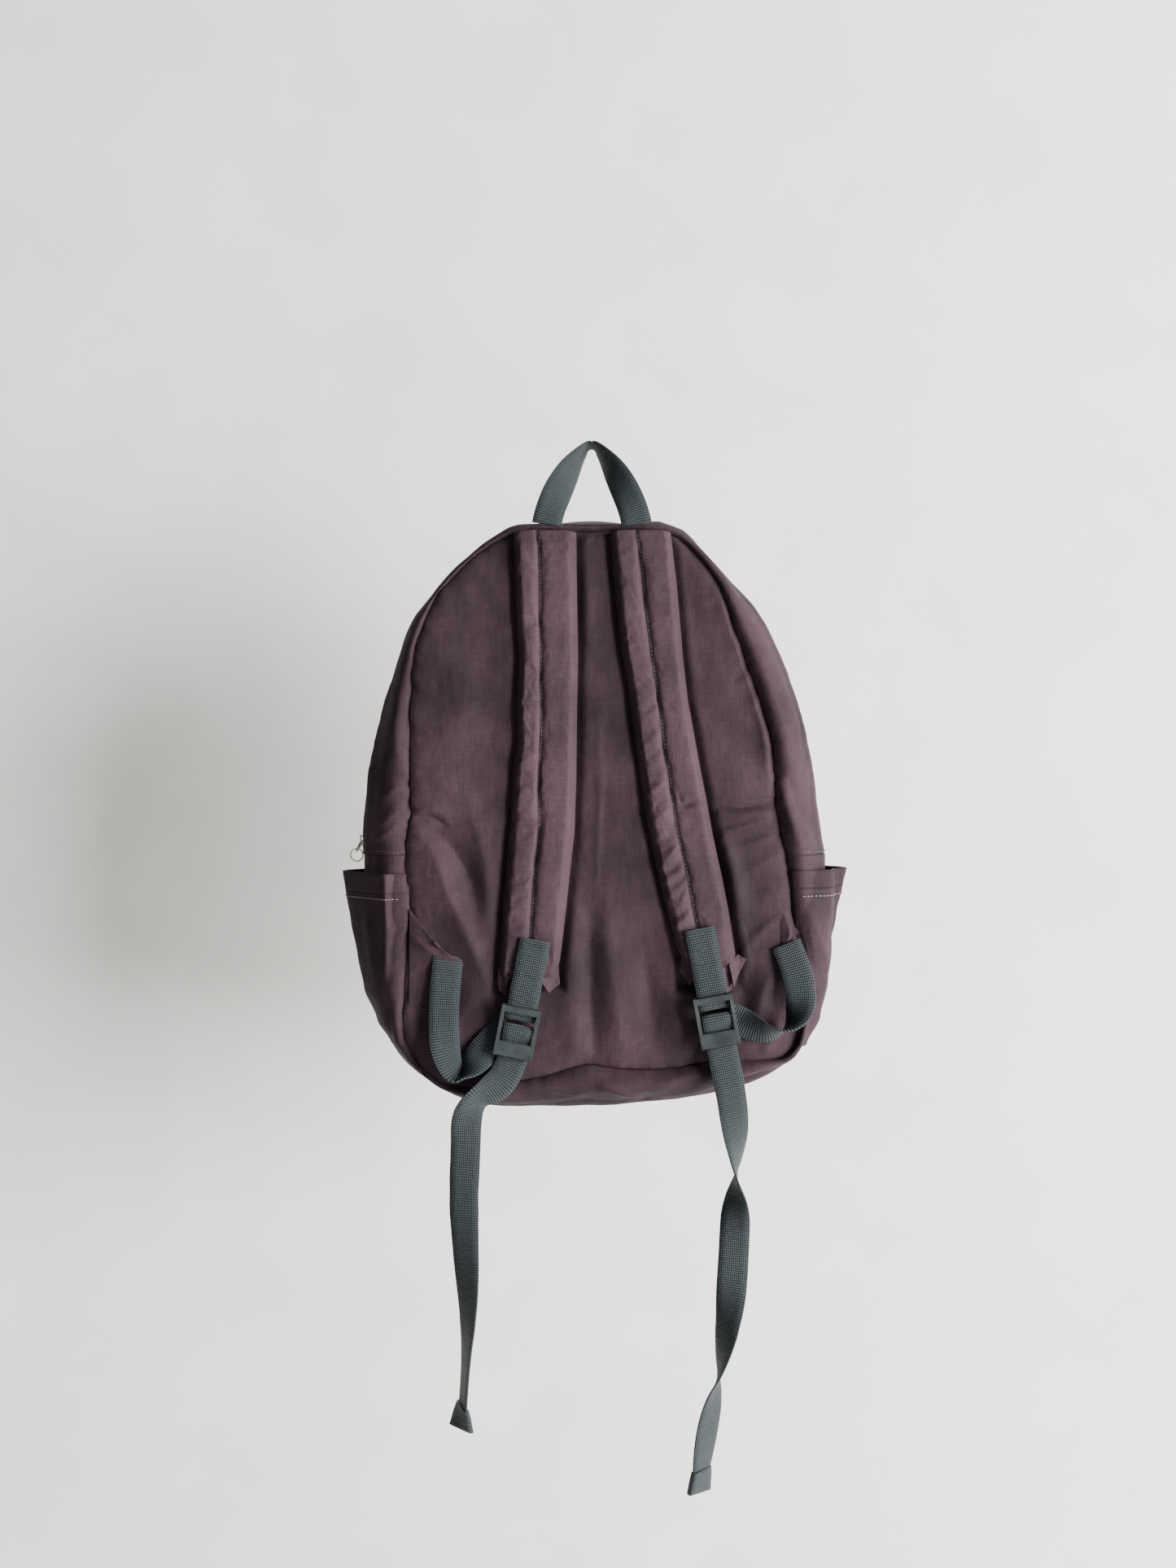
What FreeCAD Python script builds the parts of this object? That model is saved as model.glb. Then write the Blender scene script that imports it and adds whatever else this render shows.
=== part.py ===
import FreeCAD, Part
import math
import os
from FreeCAD import Vector

# Soft nylon daypack, hanging by its grab loop.
# Frame: millimetres, +Z up, X across the pack. The wearer's side faces -Y and the front pocket faces +Y.
# Origin: the inside top of the grab loop, where the pack bears on a hook.

# ---- driving dimensions -------------------------------------------------------------------------
panelT = 2.0            # sewn panel with its lining
skinT = 2.8             # in-plane thickness of the sloping gusset walls
webW = 24.5             # webbing width
webT = 1.6              # webbing thickness
yBack = -25.0           # back seam plane
yZipRear = 18.0         # rear edge of the zip belt
yZipFront = 32.0        # front edge of the zip belt
yFront = 63.0           # front seam plane at mid height
frontTilt = 3.5         # degrees: the front leans back towards the top
zMid = -300.0           # height about which the front leans
zWide = -340.0          # widest level, where the zip ends
zFlap = -320.0          # the front opens above this level
zFloor = -495.0         # side panels meet the bottom panel here
gap = 0.3               # clearance between bodies

# Outlines, seen along Y: half width, top, bottom, then the angles where one arc gives way to the next.
backForm = dict(half=150, top=-70, bottom=-512, side=20, shoulder=70, topR=200,
                low=2, corner=84, cornerR=38)
zipForm = dict(half=190, top=-61, bottom=-549, side=30, shoulder=60, topR=157,
               low=10, corner=80, cornerR=80)
frontForm = dict(half=166, top=-74, bottom=-538, side=24, shoulder=64, topR=165,
                 low=5, corner=82, cornerR=58)

shapes = {}


def keep(name, shape):
    """Stores a sub-part under its node name."""
    shapes[name] = shape


# ---- outlines made of tangent arcs --------------------------------------------------------------
def solvePair(a, b, c, d, e, f):
    """x, y from a*x + b*y = c and d*x + e*y = f."""
    det = a * e - b * d
    return (c * e - b * f) / det, (a * f - c * d) / det


def arcsOf(form):
    """Tangent arcs of the +X half, from the top centre down to the bottom centre.
    Each is (cx, cz, radius, from, to)."""
    half, rise, drop = form["half"], form["top"] - zWide, zWide - form["bottom"]
    s, h, lo, c = (math.radians(form[k]) for k in ("side", "shoulder", "low", "corner"))
    topR, cornerR = form["topR"], form["cornerR"]
    sideR, shoulderR = solvePair(
        1 - math.cos(s), math.cos(s) - math.cos(h), half - topR * math.cos(h),
        math.sin(s), math.sin(h) - math.sin(s), rise - topR * (1 - math.sin(h)))
    lowR, bottomR = solvePair(
        1 - math.cos(lo), math.cos(c), half - cornerR * (math.cos(lo) - math.cos(c)),
        math.sin(lo), 1 - math.sin(c), drop - cornerR * (math.sin(c) - math.sin(lo)))
    arcs = []
    for radii, sign in (((sideR, shoulderR, topR), 1), ((lowR, cornerR, bottomR), -1)):
        stops = (0, s, h, math.pi / 2) if sign > 0 else (0, lo, c, math.pi / 2)
        x, z = half, zWide
        chain = []
        for radius, start, end in zip(radii, stops, stops[1:]):
            cx, cz = x - radius * math.cos(start), z - sign * radius * math.sin(start)
            x, z = cx + radius * math.cos(end), cz + sign * radius * math.sin(end)
            chain.append((cx, cz, radius, sign * start, sign * end))
        if sign > 0:
            arcs = [(cx, cz, r, b, a) for cx, cz, r, a, b in reversed(chain)]
        else:
            arcs += chain
    return arcs


def outlineWire(form, inset=0.0):
    """The closed outline in the plane Y = 0, drawn in by inset."""
    edges = []
    arcs = arcsOf(form)
    for mirror, chain in ((1, arcs), (-1, reversed(arcs))):
        for cx, cz, radius, start, end in chain:
            if mirror < 0:
                start, end = end, start
            r = radius - inset
            points = [Vector(mirror * (cx + r * math.cos(t)), 0, cz + r * math.sin(t))
                      for t in (start, (start + end) / 2, end)]
            edges.append(Part.Arc(*points).toShape())
    return Part.Wire(edges)


def atY(wire, y):
    placed = wire.copy()
    placed.translate(Vector(0, y, 0))
    return placed


def onFront(shape):
    """Carries a shape built against Y = 0 onto the leaning front plane."""
    placed = shape.copy()
    placed.rotate(Vector(0, 0, zMid), Vector(1, 0, 0), frontTilt)
    placed.translate(Vector(0, yFront, 0))
    return placed


def slab(form, inset, y0, y1):
    """A plate of the outline's shape between two Y levels."""
    return Part.Face(atY(outlineWire(form, inset), y0)).extrude(Vector(0, y1 - y0, 0))


def band(form, insetOut, insetIn, y0, y1):
    """A hoop along the outline, insetOut to insetIn deep and y0 to y1 wide."""
    return slab(form, insetOut, y0, y1).cut(slab(form, insetIn, y0, y1))


def box(x0, x1, y0, y1, z0, z1):
    return Part.makeBox(x1 - x0, y1 - y0, z1 - z0, Vector(x0, y0, z0))


def above(shape, z):
    return shape.common(box(-400, 400, -300, 300, z, 400))


def below(shape, z):
    return shape.common(box(-400, 400, -300, 300, -1000, z))


def sideOf(shape, sign):
    return shape.common(box(min(0, sign * 400), max(0, sign * 400), -300, 300, -1000, 400))


def union(first, *others):
    for other in others:
        first = first.fuse(other)
    return first.removeSplitter()


def group(*solids):
    """Several separate solids in one node."""
    return Part.makeCompound([s for shape in solids for s in shape.Solids])


# ---- bag walls ----------------------------------------------------------------------------------
def wallBetween(formA, placeA, formB, placeB):
    """The sloping wall between two outlines."""
    outer, inner = (Part.makeLoft([placeA(outlineWire(formA, t)), placeB(outlineWire(formB, t))], True, True)
                    for t in (0, skinT))
    return outer.cut(inner)


def bagWalls():
    rear = wallBetween(backForm, lambda w: atY(w, yBack), zipForm, lambda w: atY(w, yZipRear))
    front = wallBetween(zipForm, lambda w: atY(w, yZipFront), frontForm, onFront)
    belt = band(zipForm, 0, skinT, yZipRear, yZipFront)
    keep("rear_gusset", above(rear, zWide))
    keep("front_gusset", above(front, zFlap + gap))
    lower = union(below(rear, zWide), below(belt, zWide), below(front, zFlap))
    for side, sign in (("left", -1), ("right", 1)):
        keep("side_panel_" + side, sideOf(above(lower, zFloor), sign))
    keep("bottom_panel", below(lower, zFloor))


def backPanel():
    keep("back_panel", slab(backForm, 0, yBack - panelT, yBack))
    foamT = 6.0
    edge = 6.0
    keep("back_foam", slab(backForm, edge, yBack, yBack + foamT))
    keep("back_lining", slab(backForm, edge, yBack + foamT, yBack + foamT + 1.0))


def frontPanel():
    plate = onFront(slab(frontForm, 0, 0, panelT))
    keep("front_panel_upper", above(plate, zFlap + gap))
    keep("front_panel_lower", below(plate, zFlap))


def innerSleeve():
    """A flat slip pocket on the lining, open at the top."""
    yLining = yBack + 7.0
    outer = box(-118, 118, yLining, yLining + 7.0, -498, -262)
    keep("inner_sleeve", outer.cut(box(-116.5, 116.5, yLining, yLining + 5.5, -496.5, -200)))
    keep("inner_sleeve_binding", box(-118, 118, yLining + 5.5, yLining + 7.0, -262, -254))


def seamBinding():
    """Tape that binds the raw edges inside the back seam."""
    keep("seam_binding", band(backForm, 3.2, 4.6, yBack + 0.6, yBack + 9))


# ---- main zip -----------------------------------------------------------------------------------
def sideArc():
    return arcsOf(zipForm)[2]


def arcBlock(r0, r1, y0, y1, a0, a1):
    """A block along the left side arc of the zip: radii, Y span, and degrees above the widest level."""
    cx, cz = -sideArc()[0], sideArc()[1]
    a, b = math.radians(180 - a0), a1 - a0
    corners = [Vector(cx + r * math.cos(a), y, cz + r * math.sin(a))
               for r, y in ((r0, y0), (r1, y0), (r1, y1), (r0, y1))]
    face = Part.Face(Part.makePolygon(corners + corners[:1]))
    return face.revolve(Vector(cx, 0, cz), Vector(0, 1, 0), b).Solids[0]


yZip = (yZipRear + yZipFront) / 2
coilGap = 0.5           # from the zip's middle to each coil
coilW = 2.5
tapeIn, tapeOut = 1.5, 0.5


def mainZip():
    rearTape = band(zipForm, tapeOut, tapeIn, yZipRear, yZip - coilGap)
    frontTape = band(zipForm, tapeOut, tapeIn, yZip + coilGap, yZipFront)
    rearCoil = band(zipForm, -1.4, tapeOut, yZip - coilGap - coilW, yZip - coilGap)
    frontCoil = band(zipForm, -1.4, tapeOut, yZip + coilGap, yZip + coilGap + coilW)
    stopH = 2.0
    keep("main_zip_rear_tape", above(rearTape, zWide))
    keep("main_zip_rear_coil", above(rearCoil, zWide + stopH))
    keep("main_zip_front_tape", above(frontTape, zFlap + gap))
    keep("main_zip_front_coil", above(frontCoil, zFlap + gap))
    keep("main_zip_end_tapes", group(above(below(frontTape, zFlap), zWide)))
    keep("main_zip_end_coils", group(above(below(frontCoil, zFlap), zWide + stopH)))
    stops = band(zipForm, -1.6, tapeOut, yZip - coilGap - coilW, yZip + coilGap + coilW)
    stops = stops.cut(band(zipForm, -3, 3, yZip - 0.1, yZip + 0.1))
    keep("main_zip_stops", group(above(below(stops, zWide + stopH), zWide)))


sliderAngle = 1.45      # of the slider's middle, above the widest level
sliderHalf = 1.0        # half its length, in degrees
ringR = 5.2
ringWire = 0.75


def zipSlider():
    radius = sideArc()[2]
    low, high = sliderAngle - sliderHalf, sliderAngle + sliderHalf
    wing = 4.4
    top = arcBlock(radius + 1.8, radius + 3.0, yZip - wing, yZip + wing, low, high)
    under = arcBlock(radius - 3.2, radius - 2.2, yZip - wing, yZip + wing, low, high)
    neck = arcBlock(radius - 2.4, radius + 2.0, yZip - 0.3, yZip + 0.3, high - 0.5, high)
    lips = [arcBlock(radius - 0.2, radius + 2.0, yZip + y, yZip + y + 1.0, low, high)
            for y in (-wing, wing - 1.0)]
    posts = [arcBlock(radius + 2.9, radius + 6.2, yZip - 1.0, yZip + 1.0, a, a + 0.2)
             for a in (low + 0.35, high - 0.55)]
    bar = arcBlock(radius + 5.1, radius + 6.2, yZip - 1.0, yZip + 1.0, low + 0.35, high - 0.35)
    keep("main_slider", union(top, under, neck, bar, *lips, *posts))


def hookPoint():
    """The middle of the slider's bail hole."""
    cx, cz, radius = -sideArc()[0], sideArc()[1], sideArc()[2]
    a = math.radians(180 - sliderAngle)
    return Vector(cx + (radius + 4.05) * math.cos(a), yZip, cz + (radius + 4.05) * math.sin(a))


ringLean = Vector(-0.50, 0, -0.866)


def ringPulls():
    """Two linked split rings: the first hangs in the slider's bail, the second in the first."""
    hook = hookPoint()
    first = Part.makeTorus(ringR, ringWire, hook + ringLean * ringR, ringLean.cross(Vector(0, 1, 0)))
    keep("pull_ring_upper", first)
    pivot = hook + ringLean * (2 * ringR)
    hang = Vector(0.10, 0, -0.995)
    second = pivot + hang * (ringR - 2 * ringWire - 0.35)
    keep("pull_ring_lower", Part.makeTorus(ringR, ringWire, second, Vector(0, 1, 0)))
    return hook, pivot


# ---- front pocket -------------------------------------------------------------------------------
pocketTop = -352.0
pocketRise = 16.0       # how far the pocket stands forward
pocketZipZ = -374.0
pocketZipHalf = 118.0
pocketZipW = 12.0


def pocketRing(inset, y0, insetFar, y1):
    """A plug between two outlines of the front, inset at y0 and insetFar at y1."""
    near = atY(outlineWire(frontForm, inset), y0)
    far = atY(outlineWire(frontForm, insetFar), y1)
    return Part.makeLoft([near, far], True, True)


def frontPocket():
    """A pouch on the lower front with a straight zip near its top, built upright, then leaned."""
    wall, edge, slope = 2.0, 8.0, 12.0
    yFace = panelT + pocketRise
    outer = below(pocketRing(edge, panelT, edge + slope, yFace), pocketTop)
    inner = below(pocketRing(edge + wall, panelT - 1, edge + slope + wall, yFace - wall), pocketTop - wall)
    pouch = outer.cut(inner)
    zLow, zHigh = pocketZipZ - pocketZipW / 2, pocketZipZ + pocketZipW / 2
    pouch = pouch.cut(box(-pocketZipHalf, pocketZipHalf, yFace - 4, yFace + 4, zLow, zHigh))
    cutZ = box(-300, 300, -20, 80, pocketZipZ, 0)
    keep("pocket_header", onFront(pouch.common(cutZ)))
    keep("pocket_panel", onFront(pouch.cut(cutZ)))
    coils, tapes = [], []
    for sign in (-1, 1):
        inside = pocketZipZ + sign * coilGap
        outside = pocketZipZ + sign * pocketZipW / 2
        z0, z1 = sorted((inside, outside))
        tapes.append(box(-pocketZipHalf, pocketZipHalf, yFace - 1.6, yFace - 0.6, z0, z1))
        z0, z1 = sorted((inside, inside + sign * coilW))
        coils.append(box(-pocketZipHalf + 3, pocketZipHalf - 3, yFace - 0.6, yFace + 1.2, z0, z1))
    keep("pocket_zip_tapes", onFront(group(*tapes)))
    keep("pocket_zip_coils", onFront(group(*coils)))
    stops = [box(x, x + 2.4, yFace - 0.6, yFace + 1.4, pocketZipZ - 3, pocketZipZ + 3)
             for x in (-pocketZipHalf + 0.3, pocketZipHalf - 2.7)]
    keep("pocket_zip_stops", onFront(group(*stops)))
    pocketSlider(yFace)


pocketSliderX = -104.0


def pocketSlider(yFace):
    x0, x1, z, wing = pocketSliderX - 6, pocketSliderX + 6, pocketZipZ, 4.4
    top = box(x0, x1, yFace + 1.6, yFace + 2.7, z - wing, z + wing)
    under = box(x0, x1, yFace - 3.4, yFace - 2.2, z - wing, z + wing)
    neck = box(x1 - 3, x1, yFace - 2.4, yFace + 1.8, z - 0.3, z + 0.3)
    lips = [box(x0, x1, yFace - 0.2, yFace + 1.8, z + dz, z + dz + 1.0) for dz in (-wing, wing - 1.0)]
    posts = [box(x, x + 1.2, yFace + 2.6, yFace + 5.6, z - 1, z + 1)
             for x in (pocketSliderX - 4, pocketSliderX + 2.8)]
    bail = box(pocketSliderX - 4, pocketSliderX + 4, yFace + 4.6, yFace + 5.6, z - 1, z + 1)
    keep("pocket_slider", onFront(union(top, under, neck, bail, *lips, *posts)))
    hook = Vector(pocketSliderX, yFace + 3.65, z)
    lean = Vector(0.88, 0.475, 0)
    ring = Part.makeTorus(ringR, ringWire, hook + lean * ringR, lean.cross(Vector(0, 0, 1)))
    keep("pocket_pull_ring", onFront(ring))


# ---- side pockets -------------------------------------------------------------------------------
def halfWidth(form, z):
    """Half width of an outline at a height between its lower corners and its widest level."""
    for cx, cz, radius, start, end in arcsOf(form)[3:]:
        low, high = cz + radius * math.sin(end), cz + radius * math.sin(start)
        if low <= z <= high:
            return cx + math.sqrt(radius ** 2 - (z - cz) ** 2)
    return 0.0


def yFrontAt(z):
    return yFront - (z - zMid) * math.tan(math.radians(frontTilt))


def pocketSection(sign, z, stand, t):
    """A thin closed strip round the side of the bag at one height.
    stand is its distance from the bag and t its thickness."""
    xz, yf = halfWidth(zipForm, z), yFrontAt(z)
    yRear, yFore = yBack + 2, yf - 3
    xRear = halfWidth(backForm, z) + (xz - halfWidth(backForm, z)) * 2 / (yZipRear - yBack)
    xFore = halfWidth(frontForm, z) + (xz - halfWidth(frontForm, z)) * 3 / (yf - yZipFront)
    lift = t + 0.3 + 0.3 * (stand - pocketStands[-1][1])
    outside = [(xRear + lift, yRear), (xz + stand, yZipRear - 4), (xz + stand, yZipFront + 2),
               (xFore + lift, yFore)]
    inside = [(x - t, y) for x, y in reversed(outside)]
    points = [Vector(sign * x, y, z) for x, y in outside + inside]
    return Part.makePolygon(points + points[:1])


hemTop, hemLow = -356.0, -370.0
hemStand = 15.0
# How far the pocket stands from the bag at each height, from the hem down.
pocketStands = ((hemLow, 13.6), (-430.0, 10.0), (-456.0, 7.4), (-476.0, 5.4), (-492.0, 3.6))


def sidePockets():
    wall, hemWall = 1.6, 2.2
    for side, sign in (("left", -1), ("right", 1)):
        sections = [pocketSection(sign, z, stand, wall) for z, stand in pocketStands]
        keep("side_pocket_" + side, Part.makeLoft(sections, True, True))
        hem = [pocketSection(sign, z, stand, hemWall) for z, stand in ((hemTop, hemStand), pocketStands[0])]
        keep("side_pocket_hem_" + side, Part.makeLoft(hem, True, True))


# ---- webbing ------------------------------------------------------------------------------------
def rounded(points, turns, steps=5):
    """Straight runs joined by curves. Returns (point, width direction) pairs and each curve's radius."""
    path = [(points[0], turns[0])]
    radii = []
    for i in range(1, len(points) - 1):
        a, p, b = points[i - 1], points[i], points[i + 1]
        back, on = a - p, b - p
        run = 0.45 * min(back.Length, on.Length)
        shareA, shareB = run / back.Length, run / on.Length
        back.normalize()
        on.normalize()
        turn = math.pi - back.getAngle(on)
        if turn > 0.01:
            radii.append(round(run / math.tan(turn / 2), 1))
        for k in range(steps + 1):
            t = k / steps
            before, after = (1 - t) ** 2, t ** 2
            across = turns[i] + (turns[i - 1] - turns[i]) * (shareA * before)
            across += (turns[i + 1] - turns[i]) * (shareB * after)
            path.append((p + back * (run * before) + on * (run * after), across))
    path.append((points[-1], turns[-1]))
    return path, radii


def ribbon(points, turns, width=webW, thick=webT):
    """Flat webbing along a route: each point has a direction for the webbing's width."""
    path, radii = rounded([Vector(*p) for p in points], [Vector(*t) for t in turns])
    sections = []
    length = 0.0
    for i, (p, across) in enumerate(path):
        before, after = path[max(i - 1, 0)][0], path[min(i + 1, len(path) - 1)][0]
        along = (after - before).normalize()
        across = (across - along * across.dot(along)).normalize()
        face = along.cross(across)
        sections.append([p + across * (sx * width / 2) + face * (sy * thick / 2)
                         for sx, sy in ((-1, -1), (1, -1), (1, 1), (-1, 1))])
        length += (p - before).Length
    faces = [Part.Face(Part.makePolygon(s + s[:1])) for s in (sections[0], sections[-1])]
    for one, two in zip(sections, sections[1:]):
        for k in range(4):
            a, b, c, d = one[k], one[(k + 1) % 4], two[(k + 1) % 4], two[k]
            faces += [Part.Face(Part.makePolygon(t)) for t in ([a, b, c, a], [a, c, d, a])]
    shell = Part.Shell(faces)
    shell.sewShape()
    solid = Part.Solid(shell)
    if solid.Volume < 0:
        solid.reverse()
    print("ribbon length %.0f, volume over section times length %.3f, radii %s"
          % (length, solid.Volume / (length * width * thick), radii))
    return solid


def grabLoop():
    """Webbing sewn flat into the top seam at both ends, turned a quarter so that it lies across the hook."""
    legs = [((36.5, -25.0, -68.5), (1, 0, 0)), ((34.0, -23.5, -55.0), (1, 0.1, 0)),
            ((24.0, -14.5, -32.0), (0.9, 0.5, 0)), ((9.5, -3.0, -9.0), (0.35, 1, 0))]
    left = [(-x, y, z) for (x, y, z), turn in legs]
    right = [(x, y, z) for (x, y, z), turn in reversed(legs)]
    leftTurns = [(tx, ty, tz) for point, (tx, ty, tz) in legs]
    rightTurns = [(-tx, ty, tz) for point, (tx, ty, tz) in reversed(legs)]
    keep("grab_loop", ribbon(left + [(0, 0, webT / 2)] + right, leftTurns + [(0, 1, 0)] + rightTurns))


# ---- shoulder straps ----------------------------------------------------------------------------
strapHalf = 25.0
strapGap = 1.0
strapT = 13.0
yStrap = yBack - panelT - strapGap      # the strap's face towards the back panel
strapRoutes = {
    "left": [(-37.5, -79), (-35.5, -170), (-37.5, -268), (-40.5, -325), (-47.5, -390), (-53.0, -440)],
    "right": [(39.5, -79), (49.0, -172), (62.0, -262), (72.0, -318), (83.0, -372), (96.0, -430)],
}
# The ladder lock's top bar: middle, and the angle by which the lock leans outwards at its foot.
lockPlaces = {"left": ((-57.3, -469.0), 11.0), "right": ((97.9, -459.8), -10.5)}


def strapOutline(route, half, trim):
    """The outline of a padded strap round its middle line, drawn in by trim at the ends."""
    points = [Vector(x, 0, z) for x, z in route]
    points[0] = points[0] + (points[1] - points[0]).normalize() * trim
    points[-1] = points[-1] + (points[-2] - points[-1]).normalize() * trim
    sides = []
    for sign in (-1, 1):
        edge = []
        for i, p in enumerate(points):
            along = (points[min(i + 1, len(points) - 1)] - points[max(i - 1, 0)]).normalize()
            edge.append(p + along.cross(Vector(0, 1, 0)) * (sign * half))
        curve = Part.BSplineCurve()
        curve.interpolate(edge)
        sides.append((curve.toShape(), edge))
    (one, a), (two, b) = sides
    return Part.Wire(Part.__sortEdges__([one, Part.makeLine(a[-1], b[-1]), two, Part.makeLine(b[0], a[0])]))


def layer(route, half, trim, y0, y1):
    return Part.Face(atY(strapOutline(route, half, trim), y0)).extrude(Vector(0, y1 - y0, 0))


def paddedStrap(side):
    """A fabric casing round a foam core, closed by a backing towards the wearer's pack."""
    skin = 1.3
    yFace = yStrap - strapT
    route = strapRoutes[side]
    foam = layer(route, strapHalf - skin, skin, yFace + skin, yStrap - skin)
    backing = layer(route, strapHalf - skin, skin, yStrap - skin, yStrap)
    keep("strap_casing_" + side, layer(route, strapHalf, 0, yFace, yStrap).cut(foam).cut(backing))
    keep("strap_foam_" + side, foam)
    keep("strap_backing_" + side, backing)


yBar = yStrap - strapT + 0.2            # Y of the ladder lock's top bar
barR = 1.7
midR, yMid, zMidBar = 1.5, -0.9, -9.5   # the lock's lower bar, from the top bar


def inLock(shape, side):
    """Carries a shape built round the ladder lock's bar at the origin to its place on the strap."""
    (x, z), lean = lockPlaces[side]
    placed = shape.copy()
    placed.rotate(Vector(0, 0, 0), Vector(0, 1, 0), lean)
    placed.translate(Vector(x, yBar, z))
    return placed


def strip(points, thick, width=webW):
    """Webbing whose middle line lies in the YZ plane, centred across X."""
    sides = ([], [])
    for i, p in enumerate(points):
        back = Vector(0, *p) - Vector(0, *points[max(i - 1, 0)])
        on = Vector(0, *points[min(i + 1, len(points) - 1)]) - Vector(0, *p)
        normals = [v.cross(Vector(1, 0, 0)).normalize() for v in (back, on) if v.Length > 1e-6]
        mean = sum(normals[1:], normals[0]).normalize()
        reach = thick / 2 / max(0.5, mean.dot(normals[0]))
        sides[0].append(Vector(-width / 2, *p) + mean * reach)
        sides[1].append(Vector(-width / 2, *p) - mean * reach)
    corners = sides[0] + sides[1][::-1]
    return Part.Face(Part.makePolygon(corners + corners[:1])).extrude(Vector(width, 0, 0))


def turnRound(y, z, radius, start, end, count):
    """Points round a bar, at the webbing's middle line; angles run from +Y towards +Z."""
    angles = [math.radians(start + (end - start) * k / (count - 1)) for k in range(count)]
    return [(y + radius * math.cos(a), z + radius * math.sin(a)) for a in angles]


def webbingTab(side):
    """The sewn loop that holds the ladder lock: down the strap's face, round the bar and back to its end."""
    wrap = barR + 0.25 + webT / 2
    faceY = -0.2 - webT / 2 - 0.02
    path = [(faceY, 63), (faceY, 30)] + turnRound(0, 0, wrap, 180, 360, 9) + [(wrap, 9), (wrap, 26)]
    keep("webbing_tab_" + side, inLock(strip(path, webT), side))


def ladderLock(side):
    """A moulded frame: two side rails, a bridge over the tab, two bars and a thumb plate."""
    inside, rail = 26.0, 2.9
    profile = [(-7.2, 8.0), (-4.6, 9.0), (2.2, 3.0), (3.2, -4.0), (3.0, -16.0), (1.0, -26.0),
               (-3.4, -33.5), (-6.4, -32.6), (-4.6, -22.0), (-5.4, -10.0), (-7.4, 1.5)]
    corners = [Vector(-inside / 2 - rail, y, z) for y, z in profile]
    face = Part.Face(Part.makePolygon(corners + corners[:1]))
    rails = [face.extrude(Vector(rail, 0, 0))]
    rails.append(rails[0].copy())
    rails[1].translate(Vector(inside + rail, 0, 0))
    span = inside + 1.0
    bars = [Part.makeCylinder(barR, span, Vector(-span / 2, 0, 0), Vector(1, 0, 0))]
    bars.append(Part.makeCylinder(midR, span, Vector(-span / 2, yMid, zMidBar), Vector(1, 0, 0)))
    plate = [(-3.0, -20.6), (-4.5, -21.4), (-6.1, -32.2), (-3.6, -33.0), (-1.4, -27.0)]
    plate = [Vector(-span / 2, y, z) for y, z in plate]
    bars.append(Part.Face(Part.makePolygon(plate + plate[:1])).extrude(Vector(span, 0, 0)))
    bridge = [(-5.8, 8.2), (-7.1, 7.6), (-7.3, 3.0), (-5.9, 2.8)]
    bridge = [Vector(-span / 2, y, z) for y, z in bridge]
    bars.append(Part.Face(Part.makePolygon(bridge + bridge[:1])).extrude(Vector(span, 0, 0)))
    frame = union(*rails, *bars)
    keep("ladder_lock_" + side, inLock(frame, side))


def webbingTurn(side):
    """The webbing inside the lock: up behind the plate, over the middle bar and back out under the plate."""
    wrap = midR + 0.2 + webT / 2
    path = [(2.9, -28), (2.9, -20), (2.2, -13.5)] + turnRound(yMid, zMidBar, wrap, 10, 190, 7)
    path += [(-3.2, -13), (-1.2, -18.5), (0.8, -24), (1.0, -30.5)]
    keep("webbing_turn_" + side, inLock(strip(path, webT, webW - 0.5), side))


# Free webbing. Each route is a list of points with the direction of the webbing's width at each.
lowerRoutes = {
    "left": [
        ((-116.0, -31.6, -421.0), (0.82, 0, -0.57)), ((-118.5, -35.0, -445.0), (1, 0, -0.1)),
        ((-119.5, -38.5, -474.0), (1, 0, 0)), ((-117.5, -41.5, -500.0), (0.9, 0.4, 0)),
        ((-108.0, -44.5, -521.0), (0.45, 0.85, -0.1)), ((-97.0, -41.5, -510.0), (-0.5, 0.75, 0.5)),
        ((-86.5, -36.0, -496.0), (-0.77, -0.05, 0.6)), ((-76.0, -35.2, -485.5), (-0.8, 0, 0.6)),
        ((-66.5, -35.0, -477.0), (-0.8, 0, 0.6)),
    ],
    "right": [
        ((157.0, -32.0, -411.0), (0.75, 0, 0.66)), ((164.5, -36.0, -430.0), (0.95, 0, 0.25)),
        ((168.0, -41.0, -448.0), (1, -0.1, 0)), ((166.5, -45.5, -466.0), (0.8, -0.6, 0)),
        ((157.0, -47.5, -478.0), (0.25, -0.95, 0.1)), ((142.0, -44.0, -482.0), (0.1, -0.75, 0.65)),
        ((129.0, -38.5, -478.0), (0.1, -0.3, 0.95)), ((118.5, -35.2, -473.0), (0.2, 0, 0.98)),
        ((108.0, -35.0, -469.0), (0.2, 0, 0.98)),
    ],
}
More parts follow.
